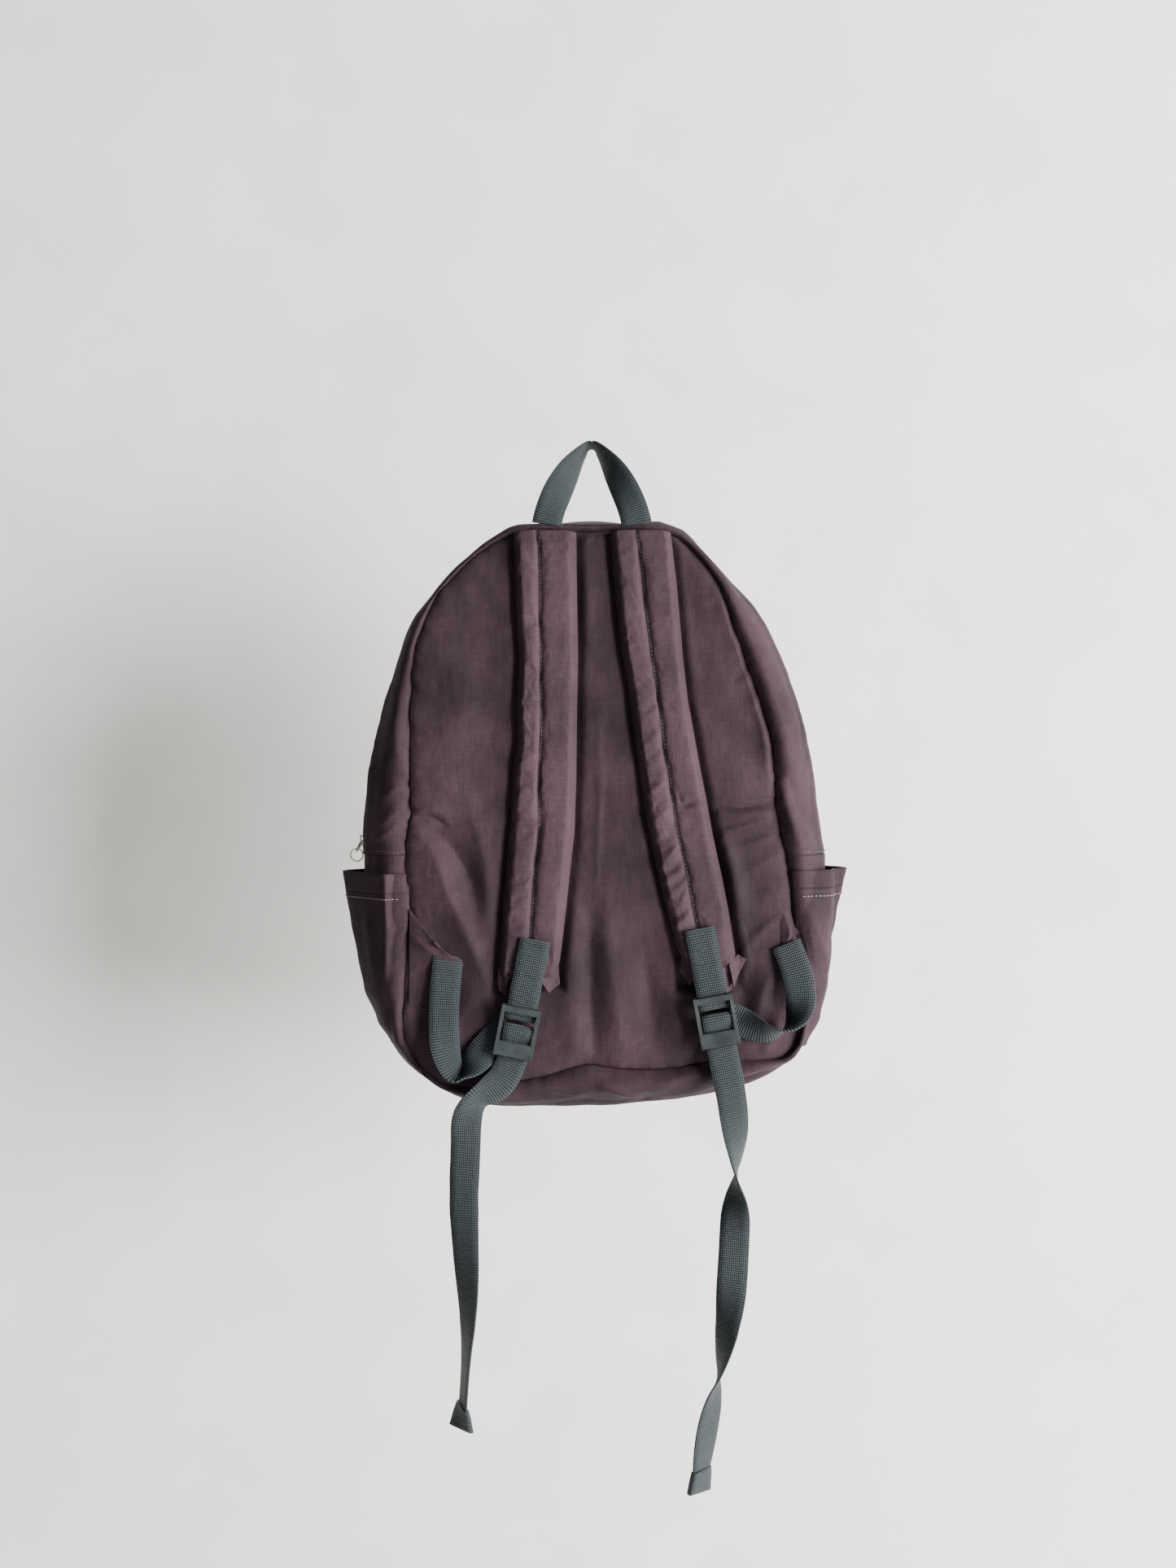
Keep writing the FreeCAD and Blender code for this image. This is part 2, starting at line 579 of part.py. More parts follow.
tailRoutes = {
    "left": [
        ((-63.4, -39.8, -500.8), (0.982, 0, -0.191)), ((-68.0, -41.0, -516.0), (0.92, 0, -0.4)),
        ((-80.0, -44.5, -527.0), (0.75, 0.2, -0.6)), ((-93.5, -44.5, -534.5), (0.75, 0.6, -0.3)),
        ((-101.0, -40.0, -549.0), (1, 0.2, 0)), ((-101.5, -37.5, -575.0), (1, -0.1, 0)),
        ((-103.5, -36.5, -618.0), (1, -0.2, 0)), ((-101.5, -36.0, -662.0), (0.9, -0.45, 0)),
        ((-99.5, -36.0, -704.0), (0.65, -0.75, 0)), ((-101.5, -36.0, -748.0), (0.25, -0.95, 0)),
        ((-104.0, -36.5, -786.0), (0.3, -0.95, 0)),
    ],
    "right": [
        ((103.8, -39.8, -491.6), (0.983, 0, 0.182)), ((110.5, -40.5, -522.0), (0.99, 0, 0.1)),
        ((115.5, -39.5, -556.0), (0.95, 0.3, 0)), ((117.0, -38.5, -590.0), (0.3, 0.95, 0)),
        ((115.5, -38.5, -632.0), (-0.95, 0.3, 0)), ((113.5, -38.0, -676.0), (-1, 0, 0)),
        ((110.5, -37.5, -712.0), (-0.8, 0.6, 0)), ((104.0, -37.5, -748.0), (-0.25, 0.95, 0)),
        ((97.5, -38.0, -780.0), (0.7, 0.7, 0)), ((91.0, -38.5, -812.0), (0.8, 0.6, 0)),
        ((88.0, -39.0, -836.0), (0.6, 0.8, 0)),
    ],
}


def freeWebbing():
    """The lower webbing from wing to lock, and the free ends with their folded hems."""
    hemL, hemT = 16.0, 3.6
    for side in ("left", "right"):
        keep("lower_webbing_" + side, ribbon(*zip(*lowerRoutes[side])))
        keep("webbing_tail_" + side, ribbon(*zip(*tailRoutes[side])))
        tip, across = tailRoutes[side][-1]
        along = (Vector(*tip) - Vector(*tailRoutes[side][-2][0])).normalize()
        stations = [Vector(*tip) + along * d for d in (0.05, hemL / 2, hemL)]
        keep("tail_hem_" + side, ribbon(stations, [across] * 3, webW + 0.6, hemT))


# ---- wings at the lower side seams --------------------------------------------------------------
def wings():
    """Triangles of doubled fabric, sewn into the lower side seams, that hold the lower webbing."""
    corners = {
        "left": [(-148.0, -384.0), (-127.5, -413.0), (-104.5, -429.0), (-149.0, -466.0)],
        "right": [(149.5, -378.0), (167.0, -404.0), (150.5, -421.0), (148.5, -444.0)],
    }
    y0, y1 = yBack - panelT - 3.6, yBack - panelT - 1.0
    for side in ("left", "right"):
        points = [Vector(x, y0, z) for x, z in corners[side]]
        wing = Part.Face(Part.makePolygon(points + points[:1])).extrude(Vector(0, y1 - y0, 0))
        keep("strap_wing_" + side, wing)


# ---- build --------------------------------------------------------------------------------------
def main():
    bagWalls()
    backPanel()
    frontPanel()
    innerSleeve()
    seamBinding()
    mainZip()
    zipSlider()
    hook, pivot = ringPulls()
    frontPocket()
    sidePockets()
    grabLoop()
    for side in ("left", "right"):
        paddedStrap(side)
        webbingTab(side)
        ladderLock(side)
        webbingTurn(side)
    freeWebbing()
    wings()
    os.makedirs("parts", exist_ok=True)
    for name in sorted(shapes):
        shape = shapes[name]
        state = "ok" if shape.isValid() and shape.Solids else "BAD"
        print("%-24s %s solids %d volume %.0f" % (name, state, len(shape.Solids), shape.Volume))
        shape.exportStep("parts/" + name + ".step")
    cx, cz, radius = sideArc()[:3]
    print("zip side arc: centre %.3f %.3f radius %.3f; bail %s; pivot %s" % (-cx, cz, radius, hook, pivot))


main()
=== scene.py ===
import bpy
import bmesh
import math
import numpy as np
from mathutils import Matrix, Vector
from mathutils.bvhtree import BVHTree


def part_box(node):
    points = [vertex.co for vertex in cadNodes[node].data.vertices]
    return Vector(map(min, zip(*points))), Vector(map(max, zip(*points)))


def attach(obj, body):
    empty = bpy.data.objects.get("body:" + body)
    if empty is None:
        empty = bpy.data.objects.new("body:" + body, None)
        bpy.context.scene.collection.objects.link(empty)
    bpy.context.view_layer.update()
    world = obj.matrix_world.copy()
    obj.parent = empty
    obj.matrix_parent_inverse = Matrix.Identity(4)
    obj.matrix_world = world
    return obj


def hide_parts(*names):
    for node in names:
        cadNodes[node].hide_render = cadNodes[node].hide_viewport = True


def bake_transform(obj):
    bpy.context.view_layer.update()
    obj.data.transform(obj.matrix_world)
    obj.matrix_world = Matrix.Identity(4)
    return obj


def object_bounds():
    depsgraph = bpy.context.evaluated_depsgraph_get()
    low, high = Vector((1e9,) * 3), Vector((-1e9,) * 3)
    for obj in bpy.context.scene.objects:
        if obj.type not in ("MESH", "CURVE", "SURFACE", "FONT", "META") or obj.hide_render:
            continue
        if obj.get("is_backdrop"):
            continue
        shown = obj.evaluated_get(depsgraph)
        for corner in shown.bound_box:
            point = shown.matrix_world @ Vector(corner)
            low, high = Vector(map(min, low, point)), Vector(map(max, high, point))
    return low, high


# Soft nylon daypack that hangs by its grab loop, built round its CAD frame, in metres.
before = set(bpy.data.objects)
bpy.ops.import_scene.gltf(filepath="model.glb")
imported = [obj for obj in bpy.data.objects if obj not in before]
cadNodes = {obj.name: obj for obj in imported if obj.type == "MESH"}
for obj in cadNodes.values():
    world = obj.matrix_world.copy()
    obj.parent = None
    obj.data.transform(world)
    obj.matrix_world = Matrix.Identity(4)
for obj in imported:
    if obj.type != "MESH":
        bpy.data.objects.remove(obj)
cadLow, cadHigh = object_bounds()
mm = 0.001
middle = np.array([0.0, -310.0])        # X and Z in mm that every outline of the bag turns round


# Small helpers
# sRGB hex to linear
def linear(code):
    parts = [int(code[i:i + 2], 16) / 255 for i in (1, 3, 5)]
    return tuple(c / 12.92 if c <= 0.04045 else ((c + 0.055) / 1.055) ** 2.4 for c in parts) + (1.0,)


def addNode(tree, kind, settings=None, sockets=None, links=None):
    node = tree.nodes.new(kind)
    for key, value in (settings or {}).items():
        setattr(node, key, value)
    for key, value in (sockets or {}).items():
        node.inputs[key].default_value = value
    for key, output in (links or {}).items():
        tree.links.new(output, node.inputs[key])
    return node


# Smooth value noise, -1 to 1, one cell for each unit of u and v.
def noiseAt(u, v, seed):
    table = np.random.default_rng(seed).uniform(-1, 1, (61, 67))
    i, j = np.floor(u).astype(int), np.floor(v).astype(int)
    a, b = u - i, v - j
    a, b = a * a * (3 - 2 * a), b * b * (3 - 2 * b)
    i0, i1, j0, j1 = i % 61, (i + 1) % 61, j % 67, (j + 1) % 67
    low = table[i0, j0] * (1 - a) + table[i1, j0] * a
    high = table[i0, j1] * (1 - a) + table[i1, j1] * a
    return low * (1 - b) + high * b


# Fine rumples of thin nylon: three sizes of noise, each half of the last.
def crumple(x, z, seed, size=16.0, amount=0.45):
    total = np.zeros_like(x)
    for k, (scale, share) in enumerate(((size, 1.0), (size * 0.52, 0.55), (size * 0.27, 0.3))):
        turn = 0.7 + 1.3 * k
        p, q = x * math.cos(turn) + z * math.sin(turn), z * math.cos(turn) - x * math.sin(turn)
        total += share * noiseAt(p / scale + 7 * k, q / (scale * 1.5) + 3 * k, seed + k)
    return amount * total


# A smooth line through points, evenly sampled.
def smoothLine(points, count):
    p = np.array(points, float)
    p = np.vstack([2 * p[0] - p[1], p, 2 * p[-1] - p[-2]])
    fine = []
    for a, b, c, d in zip(p, p[1:], p[2:], p[3:]):
        for t in np.linspace(0, 1, 12, endpoint=False):
            fine.append(0.5 * (2 * b + (c - a) * t + (2 * a - 5 * b + 4 * c - d) * t ** 2
                               + (3 * b - a - 3 * c + d) * t ** 3))
    fine = np.array(fine + [p[-2]])
    run = runOf(fine)
    at = np.linspace(0, run[-1], count)
    return np.stack([np.interp(at, run, fine[:, k]) for k in range(fine.shape[1])], 1)


# Height of cloth folds at x, z in mm. Each fold is its line, its height, the width of its left and
# right slopes, and how sharp its crest is.
def foldHeight(x, z, folds):
    total = np.zeros_like(x)
    for points, height, left, right, crest in folds:
        line = smoothLine(points, 26)
        best = np.full(x.shape, 1e9)
        share, side = np.zeros_like(x), np.zeros_like(x)
        for k in range(len(line) - 1):
            (ax, az), (bx, bz) = line[k], line[k + 1]
            dx, dz = bx - ax, bz - az
            size = math.hypot(dx, dz)
            t = np.clip(((x - ax) * dx + (z - az) * dz) / size ** 2, 0, 1)
            far = np.hypot(x - ax - t * dx, z - az - t * dz)
            near = far < best
            best = np.where(near, far, best)
            share = np.where(near, (k + t) / (len(line) - 1), share)
            side = np.where(near, (x - ax) * dz - (z - az) * dx, side)
        width = np.where(side > 0, right, left)
        ends = np.clip(np.sin(math.pi * np.clip(share, 0.02, 0.98)), 0, 1) ** 0.6
        total += height * ends * np.exp(-(best / width) ** crest)
    return total


# Distance from the middle to a closed outline, for each of 720 directions from the top.
def radiusRound(points, soften=1.2):
    p = np.array(points, float) - middle
    angle = np.degrees(np.arctan2(p[:, 0], p[:, 1])) % 360
    order = np.argsort(angle)
    angle, radius = angle[order], np.hypot(p[:, 0], p[:, 1])[order]
    at = np.arange(720) / 2
    found = np.interp(at, angle, radius, period=360)
    reach = np.arange(-12, 13) / 2
    kernel = np.exp(-(reach / soften) ** 2 / 2)
    padded = np.concatenate([found[-12:], found, found[:12]])
    return np.convolve(padded, kernel / kernel.sum(), "valid")


def radiusAt(table, angle):
    return np.interp(np.degrees(angle) % 360, np.arange(720) / 2, table, period=360)


# The outermost edge of CAD nodes in a plane Y, as points in mm.
def outlineOf(nodeNames, y):
    found = []
    for name in nodeNames:
        for v in cadNodes[name].data.vertices:
            if abs(v.co.y / mm - y) < 0.2:
                found.append((v.co.x / mm, v.co.z / mm))
    p = np.array(found) - middle
    angle = np.round(np.degrees(np.arctan2(p[:, 0], p[:, 1])) % 360, 0)
    radius = np.hypot(p[:, 0], p[:, 1])
    return [found[np.flatnonzero(angle == a)[np.argmax(radius[angle == a])]] for a in np.unique(angle)]


def normalsOf(points):
    across, along = np.gradient(points, axis=0), np.gradient(points, axis=1)
    n = np.cross(across, along)
    return n / np.maximum(np.linalg.norm(n, axis=2, keepdims=True), 1e-9)


# A new object from points in mm, with its place in its mesh. uv holds one pair for each vertex.
def meshPiece(name, vertices, faces, material, uv=None, smooth=True):
    mesh = bpy.data.meshes.new(name)
    mesh.from_pydata([tuple(v) for v in np.asarray(vertices, float) * mm], [], [tuple(f) for f in faces])
    mesh.validate()
    if uv is not None:
        layer = mesh.uv_layers.new(name="cut")
        corner = np.array([loop.vertex_index for loop in mesh.loops])
        layer.data.foreach_set("uv", np.asarray(uv, float)[corner].ravel())
    mesh.polygons.foreach_set("use_smooth", [smooth] * len(mesh.polygons))
    mesh.materials.append(material)
    piece = bpy.data.objects.new(name, mesh)
    bpy.context.scene.collection.objects.link(piece)
    return piece


def gridFaces(rows, columns, loop=False, turn=False):
    faces = []
    for i in range(rows - 1):
        for j in range(columns if loop else columns - 1):
            k = (j + 1) % columns
            face = (i * columns + j, i * columns + k, (i + 1) * columns + k, (i + 1) * columns + j)
            faces.append(face[::-1] if turn else face)
    return faces


# A sheet from a grid of points in mm. Its thickness goes to the back of its faces.
def clothPiece(name, points, material, thick=1.0, turn=False, uv=None, inward=True):
    rows, columns = points.shape[:2]
    if uv is None:
        uv = np.stack([points[..., 0], points[..., 2]], -1)
    piece = meshPiece(name, points.reshape(-1, 3), gridFaces(rows, columns, turn=turn), material,
                      uv.reshape(-1, 2))
    if thick:
        wall = piece.modifiers.new("cloth thickness", "SOLIDIFY")
        wall.thickness = thick * mm
        wall.offset = -1 if inward else 0
    return piece


# Puts a piece on its body and hides the CAD nodes that it stands for.
def settle(piece, body, slot, *replaced):
    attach(piece, body)
    if replaced:
        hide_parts(*replaced)
    return piece


# Hides the CAD nodes that a piece stands for and bakes its place into its mesh.
def bendPiece(piece, slot, replaced, first, second, start, end):
    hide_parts(*replaced)
    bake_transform(piece)


# One object from several, their modifiers applied.
def joinPieces(name, pieces):
    depsgraph = bpy.context.evaluated_depsgraph_get()
    made = bmesh.new()
    materials = []
    for piece in pieces:
        mesh = bpy.data.meshes.new_from_object(piece.evaluated_get(depsgraph), depsgraph=depsgraph)
        slots = []
        for m in mesh.materials:
            if m not in materials:
                materials.append(m)
            slots.append(materials.index(m))
        for polygon in mesh.polygons:
            polygon.material_index = slots[polygon.material_index]
        made.from_mesh(mesh)
        bpy.data.meshes.remove(mesh)
        bpy.data.objects.remove(piece)
    mesh = bpy.data.meshes.new(name)
    made.to_mesh(mesh)
    made.free()
    for m in materials:
        mesh.materials.append(m)
    joined = bpy.data.objects.new(name, mesh)
    bpy.context.scene.collection.objects.link(joined)
    return joined


def unit(v):
    return v / np.maximum(np.linalg.norm(v, axis=-1, keepdims=True), 1e-9)


# How far along a line each of its points lies.
def runOf(line):
    return np.concatenate([[0], np.cumsum(np.linalg.norm(np.diff(line, axis=0), axis=1))])


# Faces of a tube of rings, with both of its ends closed.
def tubeFaces(rings, around):
    last = (rings - 1) * around
    return gridFaces(rings, around, loop=True) + [tuple(range(around))[::-1], tuple(range(last, last + around))]


# A grid laid between four corners, and each point's share across and down it.
def patchGrid(corners, count):
    a, b, c, d = (np.array(p, float) for p in corners)
    u, v = np.meshgrid(np.linspace(0, 1, count), np.linspace(0, 1, count))
    grid = (a * ((1 - u) * (1 - v))[..., None] + b * (u * (1 - v))[..., None]
            + c * (u * v)[..., None] + d * ((1 - u) * v)[..., None])
    return grid, u, v


# The directions straight out from the bag's middle at the given angles.
def straightOut(angles):
    return np.stack([np.sin(angles), np.zeros_like(angles), np.cos(angles)], -1)


# Normals of a grid that face out of the bag, and whether its own normals do so.
def outwardNormals(points, angles):
    n = normalsOf(points)
    facesOut = (n * straightOut(angles)).sum() > 0
    return (n if facesOut else -n), facesOut


# Materials
def startMaterial(name):
    material = bpy.data.materials.new(name)
    material.use_nodes = True
    tree = material.node_tree
    tree.nodes.clear()
    return material, tree, addNode(tree, "ShaderNodeTexCoord").outputs["Object"]


def finishMaterial(material, sockets, links):
    tree = material.node_tree
    shader = addNode(tree, "ShaderNodeBsdfPrincipled", sockets=sockets, links=links)
    addNode(tree, "ShaderNodeOutputMaterial", links={0: shader.outputs[0]})
    return material


def noiseNode(tree, place, scale, detail, **more):
    sockets = {"Scale": scale, "Detail": detail, **more}
    return addNode(tree, "ShaderNodeTexNoise", sockets=sockets, links={"Vector": place}).outputs[0]


# A math node; plain numbers are set, anything else is linked.
def mathNode(tree, operation, *terms):
    node = addNode(tree, "ShaderNodeMath", {"operation": operation})
    for k, term in enumerate(terms):
        if isinstance(term, float):
            node.inputs[k].default_value = term
        else:
            tree.links.new(term, node.inputs[k])
    return node.outputs[0]


def rampNode(tree, factor, look, low=0.0, high=1.0):
    node = addNode(tree, "ShaderNodeValToRGB", links={"Fac": factor})
    for stop, place, code in zip(node.color_ramp.elements, (low, high), (look["dark"], look["light"])):
        stop.position, stop.color = place, linear(code)
    return node.outputs[0]


def bumpNode(tree, height, strength, distance, **links):
    return addNode(tree, "ShaderNodeBump", sockets={"Strength": strength, "Distance": distance},
                   links={"Height": height, **links}).outputs[0]


# A value spread evenly from one span onto another.
def rangeNode(tree, value, fromLow, fromHigh, toLow, toHigh):
    sockets = {"From Min": fromLow, "From Max": fromHigh, "To Min": toLow, "To Max": toHigh}
    return addNode(tree, "ShaderNodeMapRange", sockets=sockets, links={"Value": value}).outputs[0]


# Crinkled nylon packcloth, plain woven from two colours of yarn: broad shifts between the two, slubs
# along the yarn, a fine weave and rumples coarser than it.
def nylonCloth(name, look):
    material, tree, place = startMaterial(name)
    shift = rampNode(tree, noiseNode(tree, place, 11.0, 3.0, Roughness=0.55), look, 0.2, 0.62)
    # Slubs: yarn runs up and across the piece, 0.3 mm thick and 6 to 20 mm long.
    runs = []
    for scale in ((900.0, 900.0, 45.0), (60.0, 60.0, 1100.0)):
        stretch = addNode(tree, "ShaderNodeMapping", sockets={"Scale": scale}, links={"Vector": place})
        runs.append(noiseNode(tree, stretch.outputs[0], 1.0, 2.0))
    spread = rangeNode(tree, mathNode(tree, "ADD", *runs), 0.7, 1.3, 0.86, 1.14)
    colour = addNode(tree, "ShaderNodeVectorMath", {"operation": "SCALE"},
                     links={"Vector": shift, "Scale": spread})
    # Weave: threads 0.4 mm apart, drawn at twice that so that they show.
    waves = [addNode(tree, "ShaderNodeTexWave", {"bands_direction": axis, "wave_profile": "SIN"},
                     sockets={"Scale": 390.0, "Distortion": 0.4, "Detail": 1.0},
                     links={"Vector": place}).outputs[1] for axis in ("X", "Z")]
    weave = bumpNode(tree, mathNode(tree, "MULTIPLY", *waves), 0.25, 0.0001)
    rumple = noiseNode(tree, place, look["rumple"], 5.0, Roughness=0.62, Distortion=0.6)
    bump = bumpNode(tree, rumple, look["bump"], 0.0016, Normal=weave)
    wear = rangeNode(tree, rumple, 0.3, 0.7, look["rough"] - 0.05, look["rough"] + 0.07)
    return finishMaterial(material, {"IOR": 1.53, "Metallic": 0.0, "Sheen Weight": look["sheen"],
                                     "Specular IOR Level": look.get("gloss", 0.34), "Sheen Roughness": 0.35,
                                     "Sheen Tint": linear("#b98f98")},
                          {"Base Color": colour.outputs[0], "Roughness": wear, "Normal": bump})


# Polypropylene webbing or zip tape: filament yarn in a coarse basket weave, its ribs lying across the tape,
# with painted shade in the hollows between ribs.
# Reads the cut map, in millimetres: first across, then along.
def wovenTape(name, look):
    material, tree, place = startMaterial(name)
    cut = addNode(tree, "ShaderNodeUVMap", {"uv_map": "cut"}).outputs[0]
    apart = addNode(tree, "ShaderNodeSeparateXYZ", links={"Vector": cut})
    ribs = []
    for k, pitch in enumerate((look["warp"], look["rib"])):
        wave = mathNode(tree, "SINE", mathNode(tree, "MULTIPLY", apart.outputs[k], math.pi / pitch))
        ribs.append(mathNode(tree, "ABSOLUTE", wave))
    # Colour follows rib height: the hollows between ribs are painted dark as shade, and a noise adds a random
    # mottle.
    height = mathNode(tree, "MULTIPLY_ADD", ribs[1], 0.55, mathNode(tree, "MULTIPLY", *ribs))
    both = mathNode(tree, "MULTIPLY_ADD", noiseNode(tree, place, 90.0, 3.0), 0.5, height)
    return finishMaterial(material, {"IOR": 1.49, "Roughness": look["rough"], "Specular IOR Level": 0.2,
                                     "Sheen Weight": 0.05, "Sheen Roughness": 0.4},
                          {"Base Color": rampNode(tree, both, look, 0.25, 1.0),
                           "Normal": bumpNode(tree, both, 0.8, look["deep"])})


# Metal or moulded plastic: one body colour with a faint mottle, and a fine surface grain.
def solidFinish(name, look):
    material, tree, place = startMaterial(name)
    mottle = noiseNode(tree, place, look["mottle"], 4.0)
    grain = noiseNode(tree, place, look["grain"], 2.0)
    gloss = rangeNode(tree, mottle, 0.3, 0.7, look["rough"] - 0.04, look["rough"] + 0.06)
    return finishMaterial(material, {"Metallic": look.get("metal", 0.0), **look.get("more", {})},
                          {"Base Color": rampNode(tree, mottle, look, 0.3, 0.7), "Roughness": gloss,
                           "Normal": bumpNode(tree, grain, look["bump"], 0.0002)})


# Knitted polyester zip or binding tape on a plain part: fine cords 0.8 mm apart.
def knitted(name, look):
    material, tree, place = startMaterial(name)
    cords = addNode(tree, "ShaderNodeTexWave", {"bands_direction": "Y"}, {"Scale": 390.0, "Distortion": 0.6},
                    {"Vector": place})
    fuzz = noiseNode(tree, place, 700.0, 3.0)
    both = mathNode(tree, "ADD", cords.outputs[1], fuzz)
    return finishMaterial(material, {"Roughness": 0.72, "Sheen Weight": 0.2, "IOR": 1.5},
                          {"Base Color": rampNode(tree, fuzz, look),
                           "Normal": bumpNode(tree, both, 0.5, 0.0002)})


# Shell: 70 denier crinkled nylon.
shellNylon = nylonCloth("crinkled nylon packcloth", dict(
    dark="#1d181b", light="#34282d", rumple=85.0, bump=0.5, rough=0.55, sheen=0.0, gloss=0.02))
strapNylon = nylonCloth("nylon packcloth over foam", dict(
    dark="#2b2226", light="#3d2f35", rumple=120.0, bump=0.45, rough=0.55, sheen=0.0, gloss=0.022))
# Lining: thin polyester taffeta, smoother and greyer than the shell.
liningCloth = nylonCloth("polyester taffeta lining", dict(
    dark="#2b2529", light="#3d353a", rumple=60.0, bump=0.25, rough=0.5, sheen=0.1))
# Webbing: ribs 2 mm apart and warp ends 1.5 mm apart, as counted on 25 mm webbing.
webbing = wovenTape("polypropylene webbing", dict(
    warp=1.55, rib=1.95, dark="#020506", light="#2b3235", deep=0.0007, rough=0.62))
# Zip tape: fine knitted polyester, threads 0.5 mm apart drawn at 0.9.
zipTape = wovenTape("polyester zip tape", dict(
    warp=0.9, rib=0.9, dark="#141114", light="#27222a", deep=0.00015, rough=0.7))
coilNylon = solidFinish("nylon coil monofilament", dict(
    dark="#0f0d0f", light="#181418", mottle=300.0, grain=3000.0, bump=0.1, rough=0.5,
    more={"Specular IOR Level": 0.12}))
# Painted seam shadow: near-black cloth for the strip in each strap's seam channel, standing in for the shade
# there.
paintedSeamShadow = solidFinish("nylon packcloth, painted seam shadow", dict(
    dark="#0d0a0d", light="#151014", mottle=300.0, grain=3000.0, bump=0.3, rough=0.8,
    more={"Specular IOR Level": 0.05}))
# Zinc alloy, die cast and nickel plated: bright, with faint casting ripple.
sliderMetal = solidFinish("nickel plated zinc", dict(
    dark="#8d8a83", light="#aba79f", mottle=160.0, grain=900.0, bump=0.25, rough=0.3, metal=1.0))
ringMetal = solidFinish("nickel plated steel wire", dict(
    dark="#b3b0a8", light="#cbc8bf", mottle=220.0, grain=1400.0, bump=0.15, rough=0.2, metal=1.0))
# Acetal, injection moulded with a fine spark texture.
lockPlastic = solidFinish("moulded acetal", dict(
    dark="#1c2122", light="#272d2e", mottle=120.0, grain=4200.0, bump=0.35, rough=0.34,
    more={"IOR": 1.48}))
padMesh = wovenTape("spacer mesh backing", dict(
    warp=2.4, rib=2.4, dark="#18161a", light="#37313a", deep=0.0006, rough=0.75))
foamSkin = solidFinish("closed cell foam", dict(
    dark="#2b2b2d", light="#3a3a3d", mottle=500.0, grain=2500.0, bump=0.6, rough=0.8))
stitchThread = solidFinish("bonded nylon thread", dict(
    dark="#1f1e27", light="#34323d", mottle=900.0, grain=5000.0, bump=0.4, rough=0.5))
paleThread = solidFinish("pale bonded nylon thread", dict(
    dark="#67535b", light="#86707a", mottle=900.0, grain=5000.0, bump=0.4, rough=0.5))
tapeKnit = knitted("knitted polyester tape", dict(dark="#1b171b", light="#2f282f"))
stopMetal = solidFinish("pressed zinc stop", dict(
    dark="#77746e", light="#9a978f", mottle=300.0, grain=1500.0, bump=0.2, rough=0.35, metal=1.0))
print("materials made")

# Camera, light and surroundings
view = dict(lens=34.56, place=(-0.003, -1.250, -0.2821))
cameraData = bpy.data.cameras.new("camera")
cameraData.sensor_width = 36
cameraData.lens = view["lens"]
camera = bpy.data.objects.new("camera", cameraData)
camera.location = view["place"]
camera.rotation_euler = (math.pi / 2, 0, 0)
bpy.context.scene.collection.objects.link(camera)
bpy.context.scene.camera = camera

light = dict(keyPlace=(3.6, -2.35, -0.1), keySize=(2.6, 2.4), keyPower=1010.0, fillPlace=(0.4, -2.6, 0.9),
             fillSize=(2.5, 2.0), fillPower=1.0, sky=0.2)


def areaLight(name, place, size, power, colour):
    data = bpy.data.lights.new(name, "AREA")
    data.shape = "RECTANGLE"
    data.size, data.size_y = size
    data.energy = power
    data.color = colour
    lamp = bpy.data.objects.new(name, data)
    lamp.location = place
    aim = Vector((0.0, 0.0, -0.35)) - Vector(place)
    lamp.rotation_euler = aim.to_track_quat("-Z", "Y").to_euler()
    bpy.context.scene.collection.objects.link(lamp)


areaLight("window light", light["keyPlace"], light["keySize"], light["keyPower"], (1.0, 0.985, 0.965))
areaLight("room fill", light["fillPlace"], light["fillSize"], light["fillPower"], (0.95, 0.98, 1.0))
world = bpy.data.worlds.new("room")
bpy.context.scene.world = world
world.use_nodes = True
world.node_tree.nodes["Background"].inputs[0].default_value = (0.95, 0.97, 1.0, 1.0)
world.node_tree.nodes["Background"].inputs[1].default_value = light["sky"]

paint = solidFinish("matt wall paint", dict(
    dark="#d4d4d1", light="#dcdcd9", mottle=9.0, grain=260.0, bump=0.06, rough=0.85))
# The wall is seen from its painted side only, so that it hides nothing from behind.
tree = paint.node_tree
byKind = {node.bl_idname: node for node in tree.nodes}
side = addNode(tree, "ShaderNodeNewGeometry")
clear = addNode(tree, "ShaderNodeBsdfTransparent")
mix = addNode(tree, "ShaderNodeMixShader", links={0: side.outputs["Backfacing"],
                                                  1: byKind["ShaderNodeBsdfPrincipled"].outputs[0],
                                                  2: clear.outputs[0]})
tree.links.new(mix.outputs[0], byKind["ShaderNodeOutputMaterial"].inputs[0])
room = dict(wall=cadHigh.y / mm + 260.0, floor=-1650.0, half=3500, near=-4000, top=2200)
for name, edges in (("wall", ((room["wall"], room["floor"]), (room["wall"], room["top"]))),
                    ("floor", ((room["near"], room["floor"]), (room["wall"], room["floor"])))):
    (y0, z0), (y1, z1) = edges
    corners = [(-room["half"], y0, z0), (room["half"], y0, z0), (room["half"], y1, z1), (-room["half"], y1, z1)]
    meshPiece(name, corners, [(0, 1, 2, 3)], paint, smooth=False)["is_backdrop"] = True
print("camera and light made")


# Webbing
# The smooth line of a webbing's route, in mm: a NURBS curve with those control points.
def routeLine(points):
    data = bpy.data.curves.new("route", "CURVE")
    data.dimensions = "3D"
    data.resolution_u = 14
    spline = data.splines.new("NURBS")
    spline.points.add(len(points) - 1)
    for point, place in zip(spline.points, points):
        point.co = (*[c * mm for c in place], 1)
    spline.order_u = 3
    spline.use_endpoint_u = True
    curve = bpy.data.objects.new("route", data)
    bpy.context.scene.collection.objects.link(curve)
    mesh = bpy.data.meshes.new_from_object(curve)
    line = np.array([v.co for v in mesh.vertices]) / mm
    bpy.data.objects.remove(curve)
    bpy.data.meshes.remove(mesh)
    return line


